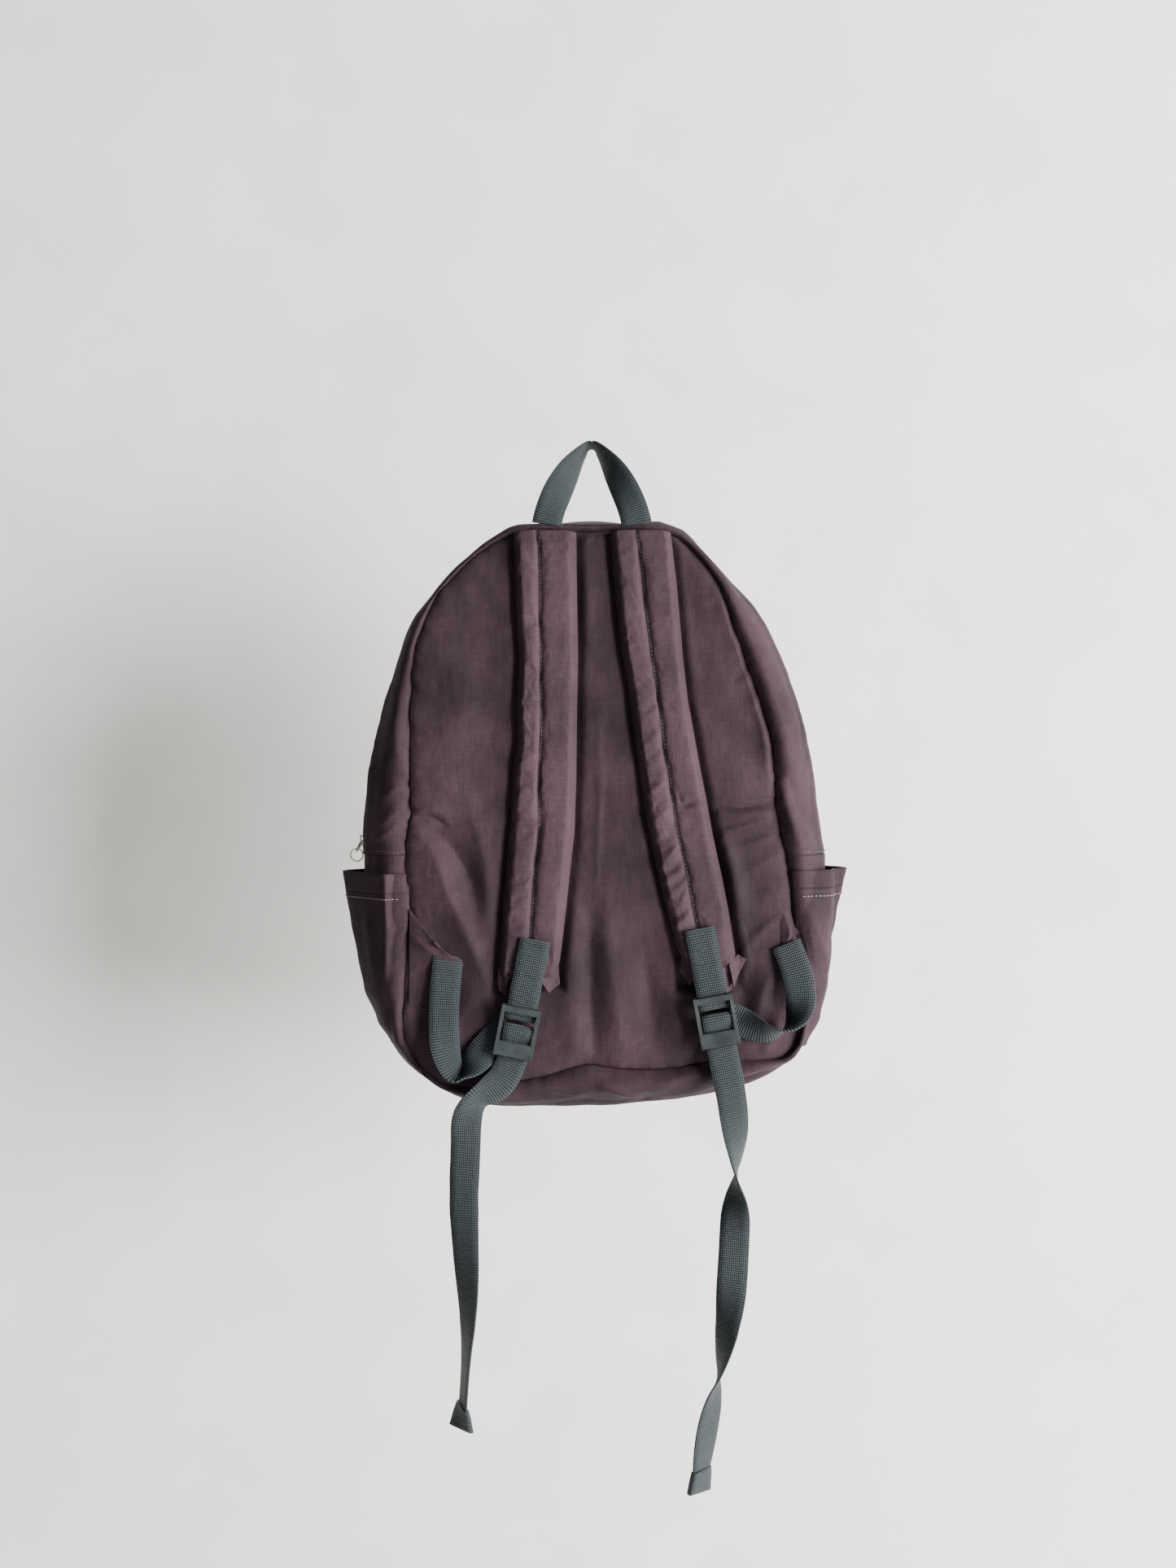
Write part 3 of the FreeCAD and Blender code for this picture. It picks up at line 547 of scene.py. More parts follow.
# Flat webbing along a line, its width lying in the across directions. Edges are rounded.
def webbingPiece(name, line, across, width=24.5, thick=1.6, material=None, wander=0.25, seed=5):
    along = unit(np.gradient(line, axis=0))
    across = across - along * (across * along).sum(1, keepdims=True)
    across = unit(across)
    face = np.cross(along, across)
    run = runOf(line)
    h, e, t = width / 2, width / 2 - 0.5, thick / 2
    section = [(-h, 0), (-e, t), (-h * 0.5, t * 1.02), (0, t * 1.05), (h * 0.5, t * 1.02), (e, t),
               (h, 0), (e, -t), (h * 0.5, -t), (0, -t), (-h * 0.5, -t), (-e, -t)]
    vertices, uv = [], []
    for k, p in enumerate(line):
        sway = wander * float(noiseAt(np.array([run[k] / 14.0]), np.array([0.5]), seed)[0])
        for sx, sy in section:
            vertices.append(p + across[k] * (sx + sway * math.copysign(1, sx)) + face[k] * sy)
            uv.append((sx, run[k]))
    piece = meshPiece(name, vertices, tubeFaces(len(line), len(section)), material or webbing, uv)
    outward(piece)
    return piece, run[-1]


def outward(piece):
    made = bmesh.new()
    made.from_mesh(piece.data)
    bmesh.ops.recalc_face_normals(made, faces=made.faces)
    made.to_mesh(piece.data)
    made.free()


# Control points of each webbing, in mm, and the direction of its width at each.
tails = dict(
    left=dict(route=[(-63.4, -39.8, -500.8), (-68, -41, -516), (-80, -44.5, -527), (-93.5, -44.5, -534.5),
                     (-101, -40, -549), (-101.5, -37.5, -575), (-103.5, -36.5, -618), (-101.5, -36, -662),
                     (-99.5, -36, -704), (-101.5, -36, -748), (-104, -36.5, -786)],
              across=[(0.982, 0, -0.191), (0.92, 0, -0.4), (0.75, 0.2, -0.6), (0.75, 0.6, -0.3), (1, 0.2, 0),
                      (1, -0.1, 0), (1, -0.2, 0), (0.9, -0.45, 0), (0.65, -0.75, 0), (0.25, -0.95, 0),
                      (0.3, -0.95, 0)]),
    right=dict(route=[(103.8, -39.8, -491.6), (110.5, -40.5, -522), (115.5, -39.5, -556), (117, -38.5, -590),
                      (115.5, -38.5, -632), (113.5, -38, -676), (110.5, -37.5, -712), (104, -37.5, -748),
                      (97.5, -38, -780), (91, -38.5, -812), (88, -39, -836)],
               across=[(0.983, 0, 0.182), (0.99, 0, 0.1), (0.95, 0.3, 0), (0.3, 0.95, 0), (-0.95, 0.3, 0),
                       (-1, 0, 0), (-0.8, 0.6, 0), (-0.25, 0.95, 0), (0.7, 0.7, 0), (0.8, 0.6, 0),
                       (0.6, 0.8, 0)]))
lowers = dict(
    left=dict(route=[(-116, -31.6, -421), (-118.5, -35, -445), (-119.5, -38.5, -474), (-117.5, -41.5, -500),
                     (-108, -44.5, -521), (-97, -41.5, -510), (-86.5, -36, -496), (-76, -35.2, -485.5),
                     (-66.5, -35, -477)],
              across=[(0.82, 0, -0.57), (1, 0, -0.1), (1, 0, 0), (0.9, 0.4, 0), (0.45, 0.85, -0.1),
                      (-0.5, 0.75, 0.5), (-0.77, -0.05, 0.6), (-0.8, 0, 0.6), (-0.8, 0, 0.6)]),
    right=dict(route=[(157, -32, -411), (164.5, -36, -430), (168, -41, -448), (166.5, -45.5, -466),
                      (157, -47.5, -478), (142, -44, -482), (129, -38.5, -478), (118.5, -35.2, -473),
                      (108, -35, -469)],
               across=[(0.75, 0, 0.66), (0.95, 0, 0.25), (1, -0.1, 0), (0.8, -0.6, 0), (0.25, -0.95, 0.1),
                       (0.1, -0.75, 0.65), (0.1, -0.3, 0.95), (0.2, 0, 0.98), (0.2, 0, 0.98)]))


# The width direction all along a route, from a companion curve beside it.
def routeAcross(parts):
    beside = [tuple(p[k] + 10 * c[k] / math.sqrt(sum(q * q for q in c)) for k in range(3))
              for p, c in zip(parts["route"], parts["across"])]
    line = routeLine(parts["route"])
    return line, unit(routeLine(beside) - line)


for side in ("left", "right"):
    line, across = routeAcross(tails[side])
    tail, length = webbingPiece("webbing_tail_piece_" + side, line, across, seed=11)
    # The cut end is folded over twice and sewn: a short stack, three layers thick.
    down = unit(line[-1] - line[-4])
    fold = np.array([line[-1] + down * d for d in (-3.0, 0.0, 4.0, 9.0, 13.0, 15.4)])
    curl = np.array([across[-1] + np.array([0.10, 0.05, 0.0]) * k for k in range(6)])
    hem = webbingPiece("tail_hem_piece_" + side, fold, curl, width=25.3, thick=4.3, wander=0.5, seed=3)[0]
    # The lock pays out more webbing as the tail is pulled.
    bendPiece(tail, "webbing", ["webbing_tail_" + side], "lock_" + side, "tail_" + side,
              line[2] * mm, line[len(line) // 3] * mm)
    settle(hem, "tail_" + side, "webbing", "tail_hem_" + side)
    line, across = routeAcross(lowers[side])
    lower, length = webbingPiece("lower_webbing_piece_" + side, line, across, seed=17)
    print("webbing", side, "lower", round(length), "mm")
    bendPiece(lower, "webbing", ["lower_webbing_" + side], "pack", "strap_" + side,
              line[6] * mm, line[-20] * mm)
print("webbing made")

# Bag outlines, X and Z in mm
# Where the back panel is sewn in. The left side hangs in more than the right.
backSeam = [
    (-63, -78), (-84, -89), (-111, -112), (-130.5, -137), (-139, -157), (-144, -174), (-146, -207),
    (-147, -240), (-147, -273), (-146, -306), (-146, -386), (-150, -415), (-152, -452), (-153, -490),
    (-124, -527), (-71, -525), (-18, -512), (-3, -509), (101, -505), (158, -504), (167.5, -492),
    (171, -469), (163, -387), (161, -371), (157, -341), (152, -322), (148, -300), (147, -267), (145, -247),
    (136, -216), (125, -186), (114.5, -155), (104, -122), (89, -99), (67, -80), (36, -76), (0, -78),
    (-36, -76)]
# The widest line of the bag seen from the back.
widest = [
    (-65, -68), (-87, -81), (-108, -98.5), (-125, -116), (-137, -132), (-149, -147), (-160, -166),
    (-169, -187), (-175, -204), (-181, -225), (-186, -245), (-189, -266), (-191, -287), (-193, -307),
    (-193, -335), (-192, -354), (-191, -454), (-185, -462), (-177, -475), (-165, -493), (-156, -509),
    (-142.5, -522), (-125, -535), (-115, -541.5), (-87, -550), (-46, -553), (-3, -552.5), (43.5, -548),
    (85, -544), (105.5, -539), (143, -528), (164, -513), (174, -497), (181, -479.5), (188, -454),
    (198, -342), (195, -321), (190, -297), (187.5, -273), (183, -249), (178, -221), (169, -194),
    (161, -175), (150, -152), (136.5, -132), (119, -116), (109, -106), (92, -90), (78, -74), (64, -65),
    (50, -64), (0, -68), (-35, -66)]
# Y of the bag's rings and Z of its belt lines, in mm, and the front's lean in degrees.
levels = dict(back=-25.0, zipRear=18.0, zipFront=32.0, front=63.0, widest=-340.0, floor=-495.0, lean=3.5)
wallNodes = ["rear_gusset", "side_panel_left", "side_panel_right", "bottom_panel", "front_gusset"]
seamRound = radiusRound(backSeam)
widestRound = radiusRound(widest)
zipRound = radiusRound(outlineOf(wallNodes, levels["zipRear"]))
frontRound = radiusRound([(v.co.x / mm, v.co.z / mm) for name in ("front_panel_upper", "front_panel_lower")
                          for v in cadNodes[name].data.vertices
                          if math.hypot(v.co.x / mm - middle[0], v.co.z / mm - middle[1]) > 150])


def frontLevel(z):
    return levels["front"] - (z + 300.0) * math.tan(math.radians(levels["lean"]))


# Back panel
panelFolds = [
    ([(-145, -321), (-128, -339), (-117, -371), (-102, -400), (-88, -438)], 5, 9, 15, 1.3),
    ([(-136, -315), (-116, -331), (-99, -358), (-92, -388)], -3.5, 8, 9, 1.5),
    ([(-100, -300), (-88, -335), (-84, -371), (-87, -405)], 4, 14, 9, 1.5),
    ([(-145, -311), (-130, -309), (-116, -317)], -3, 3, 5, 1.2),
    ([(-145, -304), (-129, -303), (-113, -308)], 2, 5, 4, 1.4),
    ([(-143, -285), (-127, -280), (-110, -290)], 1.6, 8, 7, 1.6),
    ([(-109, -386), (-94, -419), (-80, -453)], 3, 8, 12, 1.4),
    ([(-124, -425), (-107, -458), (-104, -491)], -3, 12, 12, 1.6),
    ([(-91, -462), (-84, -481), (-58, -502)], 2.2, 7, 9, 1.5),
    ([(93, -300), (114, -302), (131, -300), (147, -298)], -2.6, 2.5, 3.5, 1.2),
    ([(93, -304), (114, -307), (131, -306), (149, -304)], 2.4, 4, 4, 1.4),
    ([(101, -323), (124, -316), (145, -310)], 1.8, 3.5, 4, 1.4),
    ([(111, -335), (131, -330), (151, -321)], 1.6, 3.5, 4, 1.4),
    ([(118, -356), (137, -347), (155, -339)], 1.5, 4, 5, 1.4),
    ([(118, -423), (138, -400), (158, -386)], 2.2, 3, 6, 1.2),
    ([(132, -482), (139, -450), (149, -432)], 4.5, 7, 9, 1.5),
    ([(122, -479), (124, -448), (134, -425)], -3, 9, 8, 1.6),
    ([(138, -502), (146, -489), (157, -479)], 2.5, 5, 5, 1.4),
    ([(72, -95), (83, -148), (93, -200)], -1.5, 9, 12, 1.8),
    ([(-3, -101), (-3, -134), (-2, -174)], 1.8, 9, 9, 1.8),
    ([(5, -220), (7, -280), (5, -333), (4, -379)], 1.3, 2.2, 3, 1.2),
    ([(-15, -372), (-16, -425), (-14, -505)], 3, 11, 13, 1.8),
    ([(11, -359), (14, -425), (25, -505)], 3.6, 9, 12, 1.6),
    ([(-1, -386), (-1, -438), (2, -505)], -2.5, 8, 8, 1.6),
    ([(40, -412), (48, -458), (52, -505)], -2.6, 9, 9, 1.6),
    ([(63, -445), (71, -478), (81, -505)], 2.5, 9, 9, 1.6),
    ([(-15, -77), (-7, -90)], 1.2, 2, 3, 1.2),
    ([(-7, -90), (1, -79)], 1.2, 3, 2, 1.2),
    ([(-52, -498), (-24, -491), (2, -502)], 1.5, 6, 5, 1.5),
    ([(-124, -148), (-113, -220), (-110, -280)], 1.6, 16, 18, 2),
    ([(104, -128), (128, -178), (141, -230), (146, -280)], 7, 30, 7, 1.6),
    ([(104, -318), (114, -352), (122, -390)], 5, 7, 34, 1.6),
    ([(-92, -440), (-104, -470), (-122, -505)], 4, 36, 8, 1.6),
    ([(-91, -108), (-84, -174), (-85, -240)], -1.4, 14, 14, 2),
]
gussetFolds = [
    ([(77, -86), (103, -119), (127, -172), (143, -226), (154, -266)], 3, 10, 10, 1.8),
    ([(136, -169), (144, -219), (155, -261)], 2, 7, 9, 1.6),
    ([(158, -274), (170, -299), (184, -320)], -4, 6, 8, 1.5),
    ([(150, -272), (161, -309), (170, -336)], 3.5, 5, 6, 1.4),
    ([(173, -260), (183, -297), (187, -313)], 2.5, 7, 6, 1.5),
    ([(-154, -192), (-159, -239), (-154, -268)], 2.6, 8, 6, 1.6),
    ([(-152, -281), (-162, -288), (-173, -296)], 2.2, 5, 5, 1.4),
    ([(-152, -297), (-163, -309), (-175, -319)], 2.4, 4, 6, 1.4),
    ([(-152, -309), (-162, -319), (-178, -328)], 2.2, 4, 5, 1.4),
    ([(-171, -186), (-178, -239), (-181, -293)], -2.5, 9, 9, 1.8),
    ([(-139, -132), (-152, -159), (-158, -179)], 1.5, 5, 5, 1.5),
]
rollFolds = [
    ([(-58, -519), (-18, -512), (22, -513), (62, -519)], 3.2, 6, 10, 1.5),
    ([(5, -524), (22, -529), (43, -538)], 3.6, 3, 5, 1.3),
    ([(-18, -533), (12, -526), (49, -527), (82, -517)], 3.2, 4, 5, 1.4),
    ([(43, -539), (82, -533), (119, -524)], 2.2, 3, 5, 1.4),
    ([(119, -513), (142, -507), (166, -495)], 2.5, 4, 6, 1.4),
    ([(109, -532), (136, -521), (159, -507)], -3, 4, 5, 1.4),
    ([(-85, -532), (-51, -535), (-11, -536)], -2.6, 3, 4, 1.3),
    ([(-138, -500), (-121, -515), (-101, -527)], 2.2, 5, 6, 1.4),
    ([(-148, -481), (-132, -504), (-111, -519)], -2.4, 4, 5, 1.4),
]


# Angle from the top and share of the radius for a square grid laid on a disk.
def diskGrid(columns, rows):
    u, v = np.meshgrid(np.linspace(-1, 1, columns), np.linspace(1, -1, rows))
    x, z = u * np.sqrt(1 - v * v / 2), v * np.sqrt(1 - u * u / 2)
    return np.arctan2(x, z), np.hypot(x, z)


def onOutline(table, angle, share):
    radius = radiusAt(table, angle) * share
    return middle[0] + radius * np.sin(angle), middle[1] + radius * np.cos(angle)


strapEdges = dict(
    left=dict(
        outer=[(-63.5, -76), (-62, -135), (-59, -179), (-61, -217), (-60, -244), (-63.5, -269), (-66, -312.5),
               (-70, -358), (-73, -395), (-76, -437)],
        inner=[(-12.5, -76), (-12, -120), (-11, -179), (-12, -232), (-12.5, -280), (-14, -322), (-18, -358),
               (-22, -395), (-27, -437)],
        seam=[(-46, -76), (-43, -89.5), (-42, -165), (-41, -224), (-43, -280), (-43, -322), (-46.5, -358),
              (-50, -404), (-53, -437)]),
    right=dict(
        outer=[(14, -76), (18, -120), (23, -165), (29, -202), (35, -247), (38, -267), (43, -303), (52, -349),
               (61, -386), (69, -419), (72, -430)],
        inner=[(64, -78), (69, -120), (74, -179), (78, -214), (88, -269), (93, -294), (98, -322), (106, -358),
               (113, -395), (118, -424), (119, -430)],
        seam=[(35, -76), (38.5, -97), (42.5, -135), (48, -180), (54, -217), (59, -262), (61, -267),
              (67, -312.5), (75, -349), (84, -395), (92, -430)]))


def edgeX(side, edge, z):
    p = np.array(strapEdges[side][edge], float)[::-1]
    return np.interp(z, p[:, 1], p[:, 0])


# 1 where a shoulder strap lies over the panel, falling to 0 beside it.
def underStraps(x, z):
    most = np.zeros_like(x)
    for side in strapEdges:
        low, high = edgeX(side, "outer", z), edgeX(side, "inner", z)
        away = np.maximum(np.maximum(low - x, x - high), 0)
        away = np.maximum(away, np.maximum(-445 - z, 0))
        most = np.maximum(most, np.clip(1 - away / 9, 0, 1))
    return most * most * (3 - 2 * most)


# Gathers that a seam draws into cloth: uneven ridges square to it that fade away from it.
def seamPuckers(run, away, seed, size=1.0, pitch=9.0, reach=11.0):
    ridge = noiseAt(run / pitch, away / 45, seed) + 0.5 * noiseAt(run / pitch * 2.1, away / 30, seed + 1)
    return size * ridge * np.exp(-away / reach)


backPart = dict(columns=204, rows=232, crown=3.6, limit=-27.4)
angle, share = diskGrid(backPart["columns"], backPart["rows"])
x, z = onOutline(seamRound, angle, share)
away = (1 - share) * radiusAt(seamRound, angle)
lift = backPart["crown"] * (1 - np.exp(-away / 5)) + foldHeight(x, z, panelFolds) * np.clip(away / 5, 0, 1)
lift += crumple(x, z, 21, 17, 0.5) * np.clip(away / 12, 0, 1)
lift += seamPuckers(angle * 170, away, 31, 1.1)
lift += 1.3 * noiseAt(x / 55 + 3, z / 80, 41) * np.clip(away / 30, 0, 1)
lift += 0.9 * np.clip((-z - 330) / 60, 0, 1) * noiseAt(x / 26, z / 95, 43)
under = underStraps(x, z)
y = levels["back"] - lift
y = np.where(under > 0, y * (1 - under) + np.maximum(y, backPart["limit"] + 2.5 * under) * under, y)
panel = clothPiece("back_panel_cloth", np.stack([x, y, z], -1), shellNylon, thick=1.2)
settle(panel, "pack", "shell_fabric", "back_panel")
print("back panel made")


# Gusset, side panels and bottom
# A point on the bag's wall: part rear runs from the back seam to the zip, belt along the zip and
# front on to the front seam, v from 0 to 1.
def wallPoint(angle, v, part):
    rz = radiusAt(zipRound, angle)
    if part == "rear":
        rs, rw = radiusAt(seamRound, angle), radiusAt(widestRound, angle)
        turn = v * math.pi / 2
        swell = 1 - np.exp(-((np.degrees(angle) % 360 - 180) / 62) ** 2)      # 0 at the bottom
        radius = rs + (rz - rs) * np.sin(turn) + np.clip(rw - rz, -2.0, 7.0) * np.sin(math.pi * v ** 1.4)
        bellies = 5.5 + 4.5 * np.clip(np.sin(angle), 0, 1) - 2.0 * np.clip(-np.sin(angle), 0, 1)
        bellies = bellies * (0.45 + 0.55 * swell) + 6.5 * (1 - swell)
        low = np.clip((-330 - middle[1] - radius * np.cos(angle)) / 50, 0, 1) * swell
        bellies = bellies * (1 - 0.55 * low) * np.sin(math.pi * np.clip(v * 2.0, 0, 1)) ** 0.9
        y = levels["back"] + (levels["zipRear"] - levels["back"]) * (1 - np.cos(turn)) - bellies
    elif part == "belt":
        radius = rz
        y = levels["zipRear"] + (levels["zipFront"] - levels["zipRear"]) * v
    else:
        rf = radiusAt(frontRound, angle)
        turn = (1 - v) * math.pi / 2
        radius = rf + (rz - rf) * np.sin(turn) + 3.0 * np.sin(math.pi * v)
        yf = frontLevel(middle[1] + radius * np.cos(angle))
        y = yf - (yf - levels["zipFront"]) * (1 - np.cos(turn)) + 2.0 * np.sin(math.pi * v)
    return np.stack([middle[0] + radius * np.sin(angle), y, middle[1] + radius * np.cos(angle)], -1)


# The angles between low and high where the wall is at a height.
def angleAtLevel(level, v, part, low, high):
    low, high = np.full_like(v, low), np.full_like(v, high)
    sign = np.sign(wallPoint(high, v, part)[..., 2] - wallPoint(low, v, part)[..., 2])
    for _ in range(30):
        half = (low + high) / 2
        beyond = (wallPoint(half, v, part)[..., 2] - level) * sign > 0
        high, low = np.where(beyond, half, high), np.where(beyond, low, half)
    return (low + high) / 2


# Rows across the wall, columns round it, between the first and the last of the given spans.
def wallGrid(spans, parts, columns):
    sheets, runs = [], []
    for k, part in enumerate(parts):
        v = np.linspace(0, 1, rowsEach[part])[1 if k else 0:]
        first, last = (angleAtLevel(level, v, part, low, high)[:, None] for level, low, high in spans)
        t = np.linspace(0, 1, columns)
        runs.append(first * (1 - t) + last * t)
        sheets.append(wallPoint(runs[-1], np.repeat(v[:, None], columns, 1), part))
    return np.vstack(sheets), np.vstack(runs)


# How far each row of a grid lies from its first row.
def awayFromEdge(points):
    return np.cumsum(np.linalg.norm(np.diff(points, axis=0, prepend=points[:1]), axis=2), axis=0)


# Folds, rumples and seam gathers on a piece of the wall, along its own normal.
def dressWall(points, angles, folds, seed, seamRow=True):
    n = outwardNormals(points, angles)[0]
    x, y, z = points[..., 0], points[..., 1], points[..., 2]
    edge = np.minimum(np.arange(len(points)), np.arange(len(points))[::-1])[:, None] / 6.0
    keep = np.clip(edge, 0, 1)
    rear = np.clip((12 - y) / 20, 0, 1)
    lift = foldHeight(x, z, folds) * rear if folds else np.zeros_like(x)
    lift = lift + crumple(angles * 185 + 5, y, seed, 18, 0.45)
    lift = (lift + 0.9 * noiseAt(angles * 185 / 40, y / 30, seed + 9)) * keep
    if seamRow:
        away = awayFromEdge(points)
        lift += seamPuckers(angles * 180, away, seed + 3, 0.9, 10.0, 8.0) * np.clip(away / 2, 0, 1)
    return points + n * lift[..., None]


rowsEach = dict(rear=34, belt=7, front=24)
allParts = ["rear", "belt", "front"]
arch = [(levels["widest"], -2.2, -1.0), (levels["widest"], 2.2, 1.0)]
flank = [(levels["widest"], 2.2, 1.0), (levels["floor"], 2.9, 1.8)]
base = [(levels["floor"], 1.8, 2.9), (levels["floor"], 2 * math.pi - 1.8, 2 * math.pi - 2.9)]
# Each wall: its spans, parts, columns, folds, the seed of its rumples, and whether a seam gathers it.
walls = dict(
    rear=(arch, ["rear"], 520, gussetFolds, 51, True),
    left=([(level, -low, -high) for level, low, high in flank], allParts, 92, gussetFolds + rollFolds, 61,
          True),
    right=(flank, allParts, 92, gussetFolds + rollFolds, 61, True),
    bottom=(base, allParts, 230, rollFolds, 61, True),
    front=(arch, ["front"], 360, None, 71, False))
wall = {}
for key, (spans, parts, columns, folds, seed, seamRow) in walls.items():
    points, angles = wallGrid(spans, parts, columns)
    wall[key] = (dressWall(points, angles, folds, seed, seamRow), angles)


def wallCloth(key, name):
    points, angles = wall[key]
    return clothPiece(name, points, shellNylon, thick=1.4, turn=outwardNormals(points, angles)[1],
                      uv=np.stack([angles * 185, awayFromEdge(points)], -1))


for key, name, replaced in (("rear", "rear_gusset_cloth", "rear_gusset"),
                            ("left", "side_panel_cloth_left", "side_panel_left"),
                            ("right", "side_panel_cloth_right", "side_panel_right"),
                            ("bottom", "bottom_cloth", "bottom_panel")):
    settle(wallCloth(key, name), "pack", "shell_fabric", replaced)
flapBend = dict(start=(0, 0.066, -0.338), end=(0, 0.066, -0.300))      # where the front opens as a flap
bendPiece(wallCloth("front", "front_gusset_cloth"), "shell_fabric", ["front_gusset"], "pack", "flap",
          **flapBend)
print("bag walls made")


# Shoulder straps
# Blows cloth up from its cut shape: pinned points stay, and no point moves more than cap mm.
def inflate(piece, pins, pressure, shrink, frames, cap):
    mesh = piece.data
    before = np.array([v.co for v in mesh.vertices])
    group = piece.vertex_groups.new(name="sewn")
    for index in np.flatnonzero(pins > 0):
        group.add([int(index)], float(pins[index]), "REPLACE")
    cloth = piece.modifiers.new("blown", "CLOTH")
    cloth.point_cache.frame_start, cloth.point_cache.frame_end = 1, frames
    s = cloth.settings
    s.quality = 7
    s.mass = 0.12
    s.tension_stiffness = s.compression_stiffness = 12
    s.shear_stiffness = 4
    s.bending_stiffness = 0.02
    s.vertex_group_mass = "sewn"
    s.use_pressure = True
    s.uniform_pressure_force = pressure
    s.shrink_min = s.shrink_max = shrink
    s.effector_weights.gravity = 0
    for k in range(1, frames + 1):
        bpy.context.scene.frame_set(k)
    after = piece.evaluated_get(bpy.context.evaluated_depsgraph_get()).data
    moved = np.array([v.co for v in after.vertices]) - before
    piece.modifiers.remove(cloth)
    bpy.context.scene.frame_set(1)
    far = np.linalg.norm(moved, axis=1, keepdims=True)
    moved *= np.minimum(1, cap * mm / np.maximum(far, 1e-9))
    mesh.vertices.foreach_set("co", (before + moved).astype(np.float32).ravel())
    piece.vertex_groups.clear()
    mesh.update()
    return float(far.max() / mm)


def puff(q, power):
    return (1 - np.abs(2 * np.clip(q, 0, 1) - 1) ** power) ** 0.5


strapPart = dict(thick=11.2, seamThick=6.2, back=-28.0, rows=150, frontPoints=46, backPoints=14, power=5.4,
                 narrowPower=4.4)
strapAir = dict(pressure=5.0, shrink=-0.025, frames=20, cap=0.4)
strapFolds = dict(
    left=[([(-66, -311), (-55, -314), (-43, -313)], -2.6, 2.2, 3.0, 1.2),
          ([(-66, -306), (-55, -308), (-43, -308)], 1.4, 4, 3, 1.4),
          ([(-60, -248), (-52, -252), (-47, -243)], -1.4, 3, 4, 1.3),
          ([(-62, -268), (-52, -262), (-44, -256)], 1.2, 3, 4, 1.3),
          ([(-64, -420), (-60, -437)], -2.0, 4, 5, 1.3),
          ([(-36, -412), (-31, -436)], -1.8, 5, 4, 1.3)],
    right=[([(70, -288), (73, -298), (84, -296), (97, -297)], -2.4, 2.5, 3.0, 1.2),
           ([(74, -303), (84, -301), (97, -303)], 1.3, 3, 4, 1.4),
           ([(46, -290), (58, -281)], 1.6, 3, 4, 1.3),
           ([(50, -312), (64, -299)], 1.6, 3, 4, 1.3),
           ([(58, -345), (72, -328)], 1.6, 3, 4, 1.3),
           ([(66, -385), (80, -362)], 1.4, 3, 4, 1.3),
           ([(80, -408), (84, -428)], -2.0, 4, 4, 1.3),
           ([(108, -400), (112, -428)], -1.6, 4, 4, 1.3)])
strapEnds = dict(left=(-76.5, -440.0), right=(-76.5, -431.0))


def strapShape(side):
    p = strapPart
    top, bottom = strapEnds[side]
    t = np.linspace(0, 1, p["rows"])
    zs = top + (bottom - top) * t
    lean = dict(left=0.07, right=-0.30)[side] * np.clip((zs + 380) / -60, 0, 1)
    vertices, pins = [], []
    for k, z in enumerate(zs):
        low, high, seam = (edgeX(side, e, z) for e in ("outer", "inner", "seam"))
        f = (seam - low) / (high - low)
        fromTop, fromEnd = z - top, z - bottom
        close = min(1.0, 0.45 + 0.55 * min(1.0, -fromTop / 12.0))
        close *= min(1.0, 0.42 + 0.58 * min(1.0, fromEnd / 9.0))
        narrow = 0.93 + 0.07 * min(1.0, fromEnd / 14.0)
        u = (1 - np.cos(np.linspace(0, math.pi, p["frontPoints"]))) / 2
        thick = np.where(u < f, puff(u / f, p["narrowPower"]), puff((u - f) / (1 - f), p["power"]))
        thick = thick * (p["thick"] - p["seamThick"])
        base = p["seamThick"] * np.minimum(1, np.minimum(u, 1 - u) / 0.12) ** 0.5
        thick = np.where(np.abs(u - f) < 0.004, 0, thick) * close + base
        cx = (low + high) / 2
        x = cx + (low - cx) * narrow + (high - low) * narrow * u
        tilt = lean[k] * (x - cx)
        ub = u[1:-1][::-1][np.linspace(0, p["frontPoints"] - 3, p["backPoints"]).astype(int)]
        xb = cx + (low - cx) * narrow + (high - low) * narrow * ub
        for xx, hh, uu, tt in zip(x, thick, u, tilt):
            vertices.append((xx, p["back"] - hh, z + tt))
            pins.append(1.0 if abs(uu - f) < 0.03 or uu < 0.01 or uu > 0.99 else 0.0)
        for xx in xb:
            vertices.append((xx, p["back"], z + lean[k] * (xx - cx)))
            pins.append(1.0)
    n = p["frontPoints"] + p["backPoints"]
    pins = np.array(pins)
    pins[:2 * n] = 1.0
    pins[-2 * n:] = 1.0
    return vertices, tubeFaces(p["rows"], n), pins


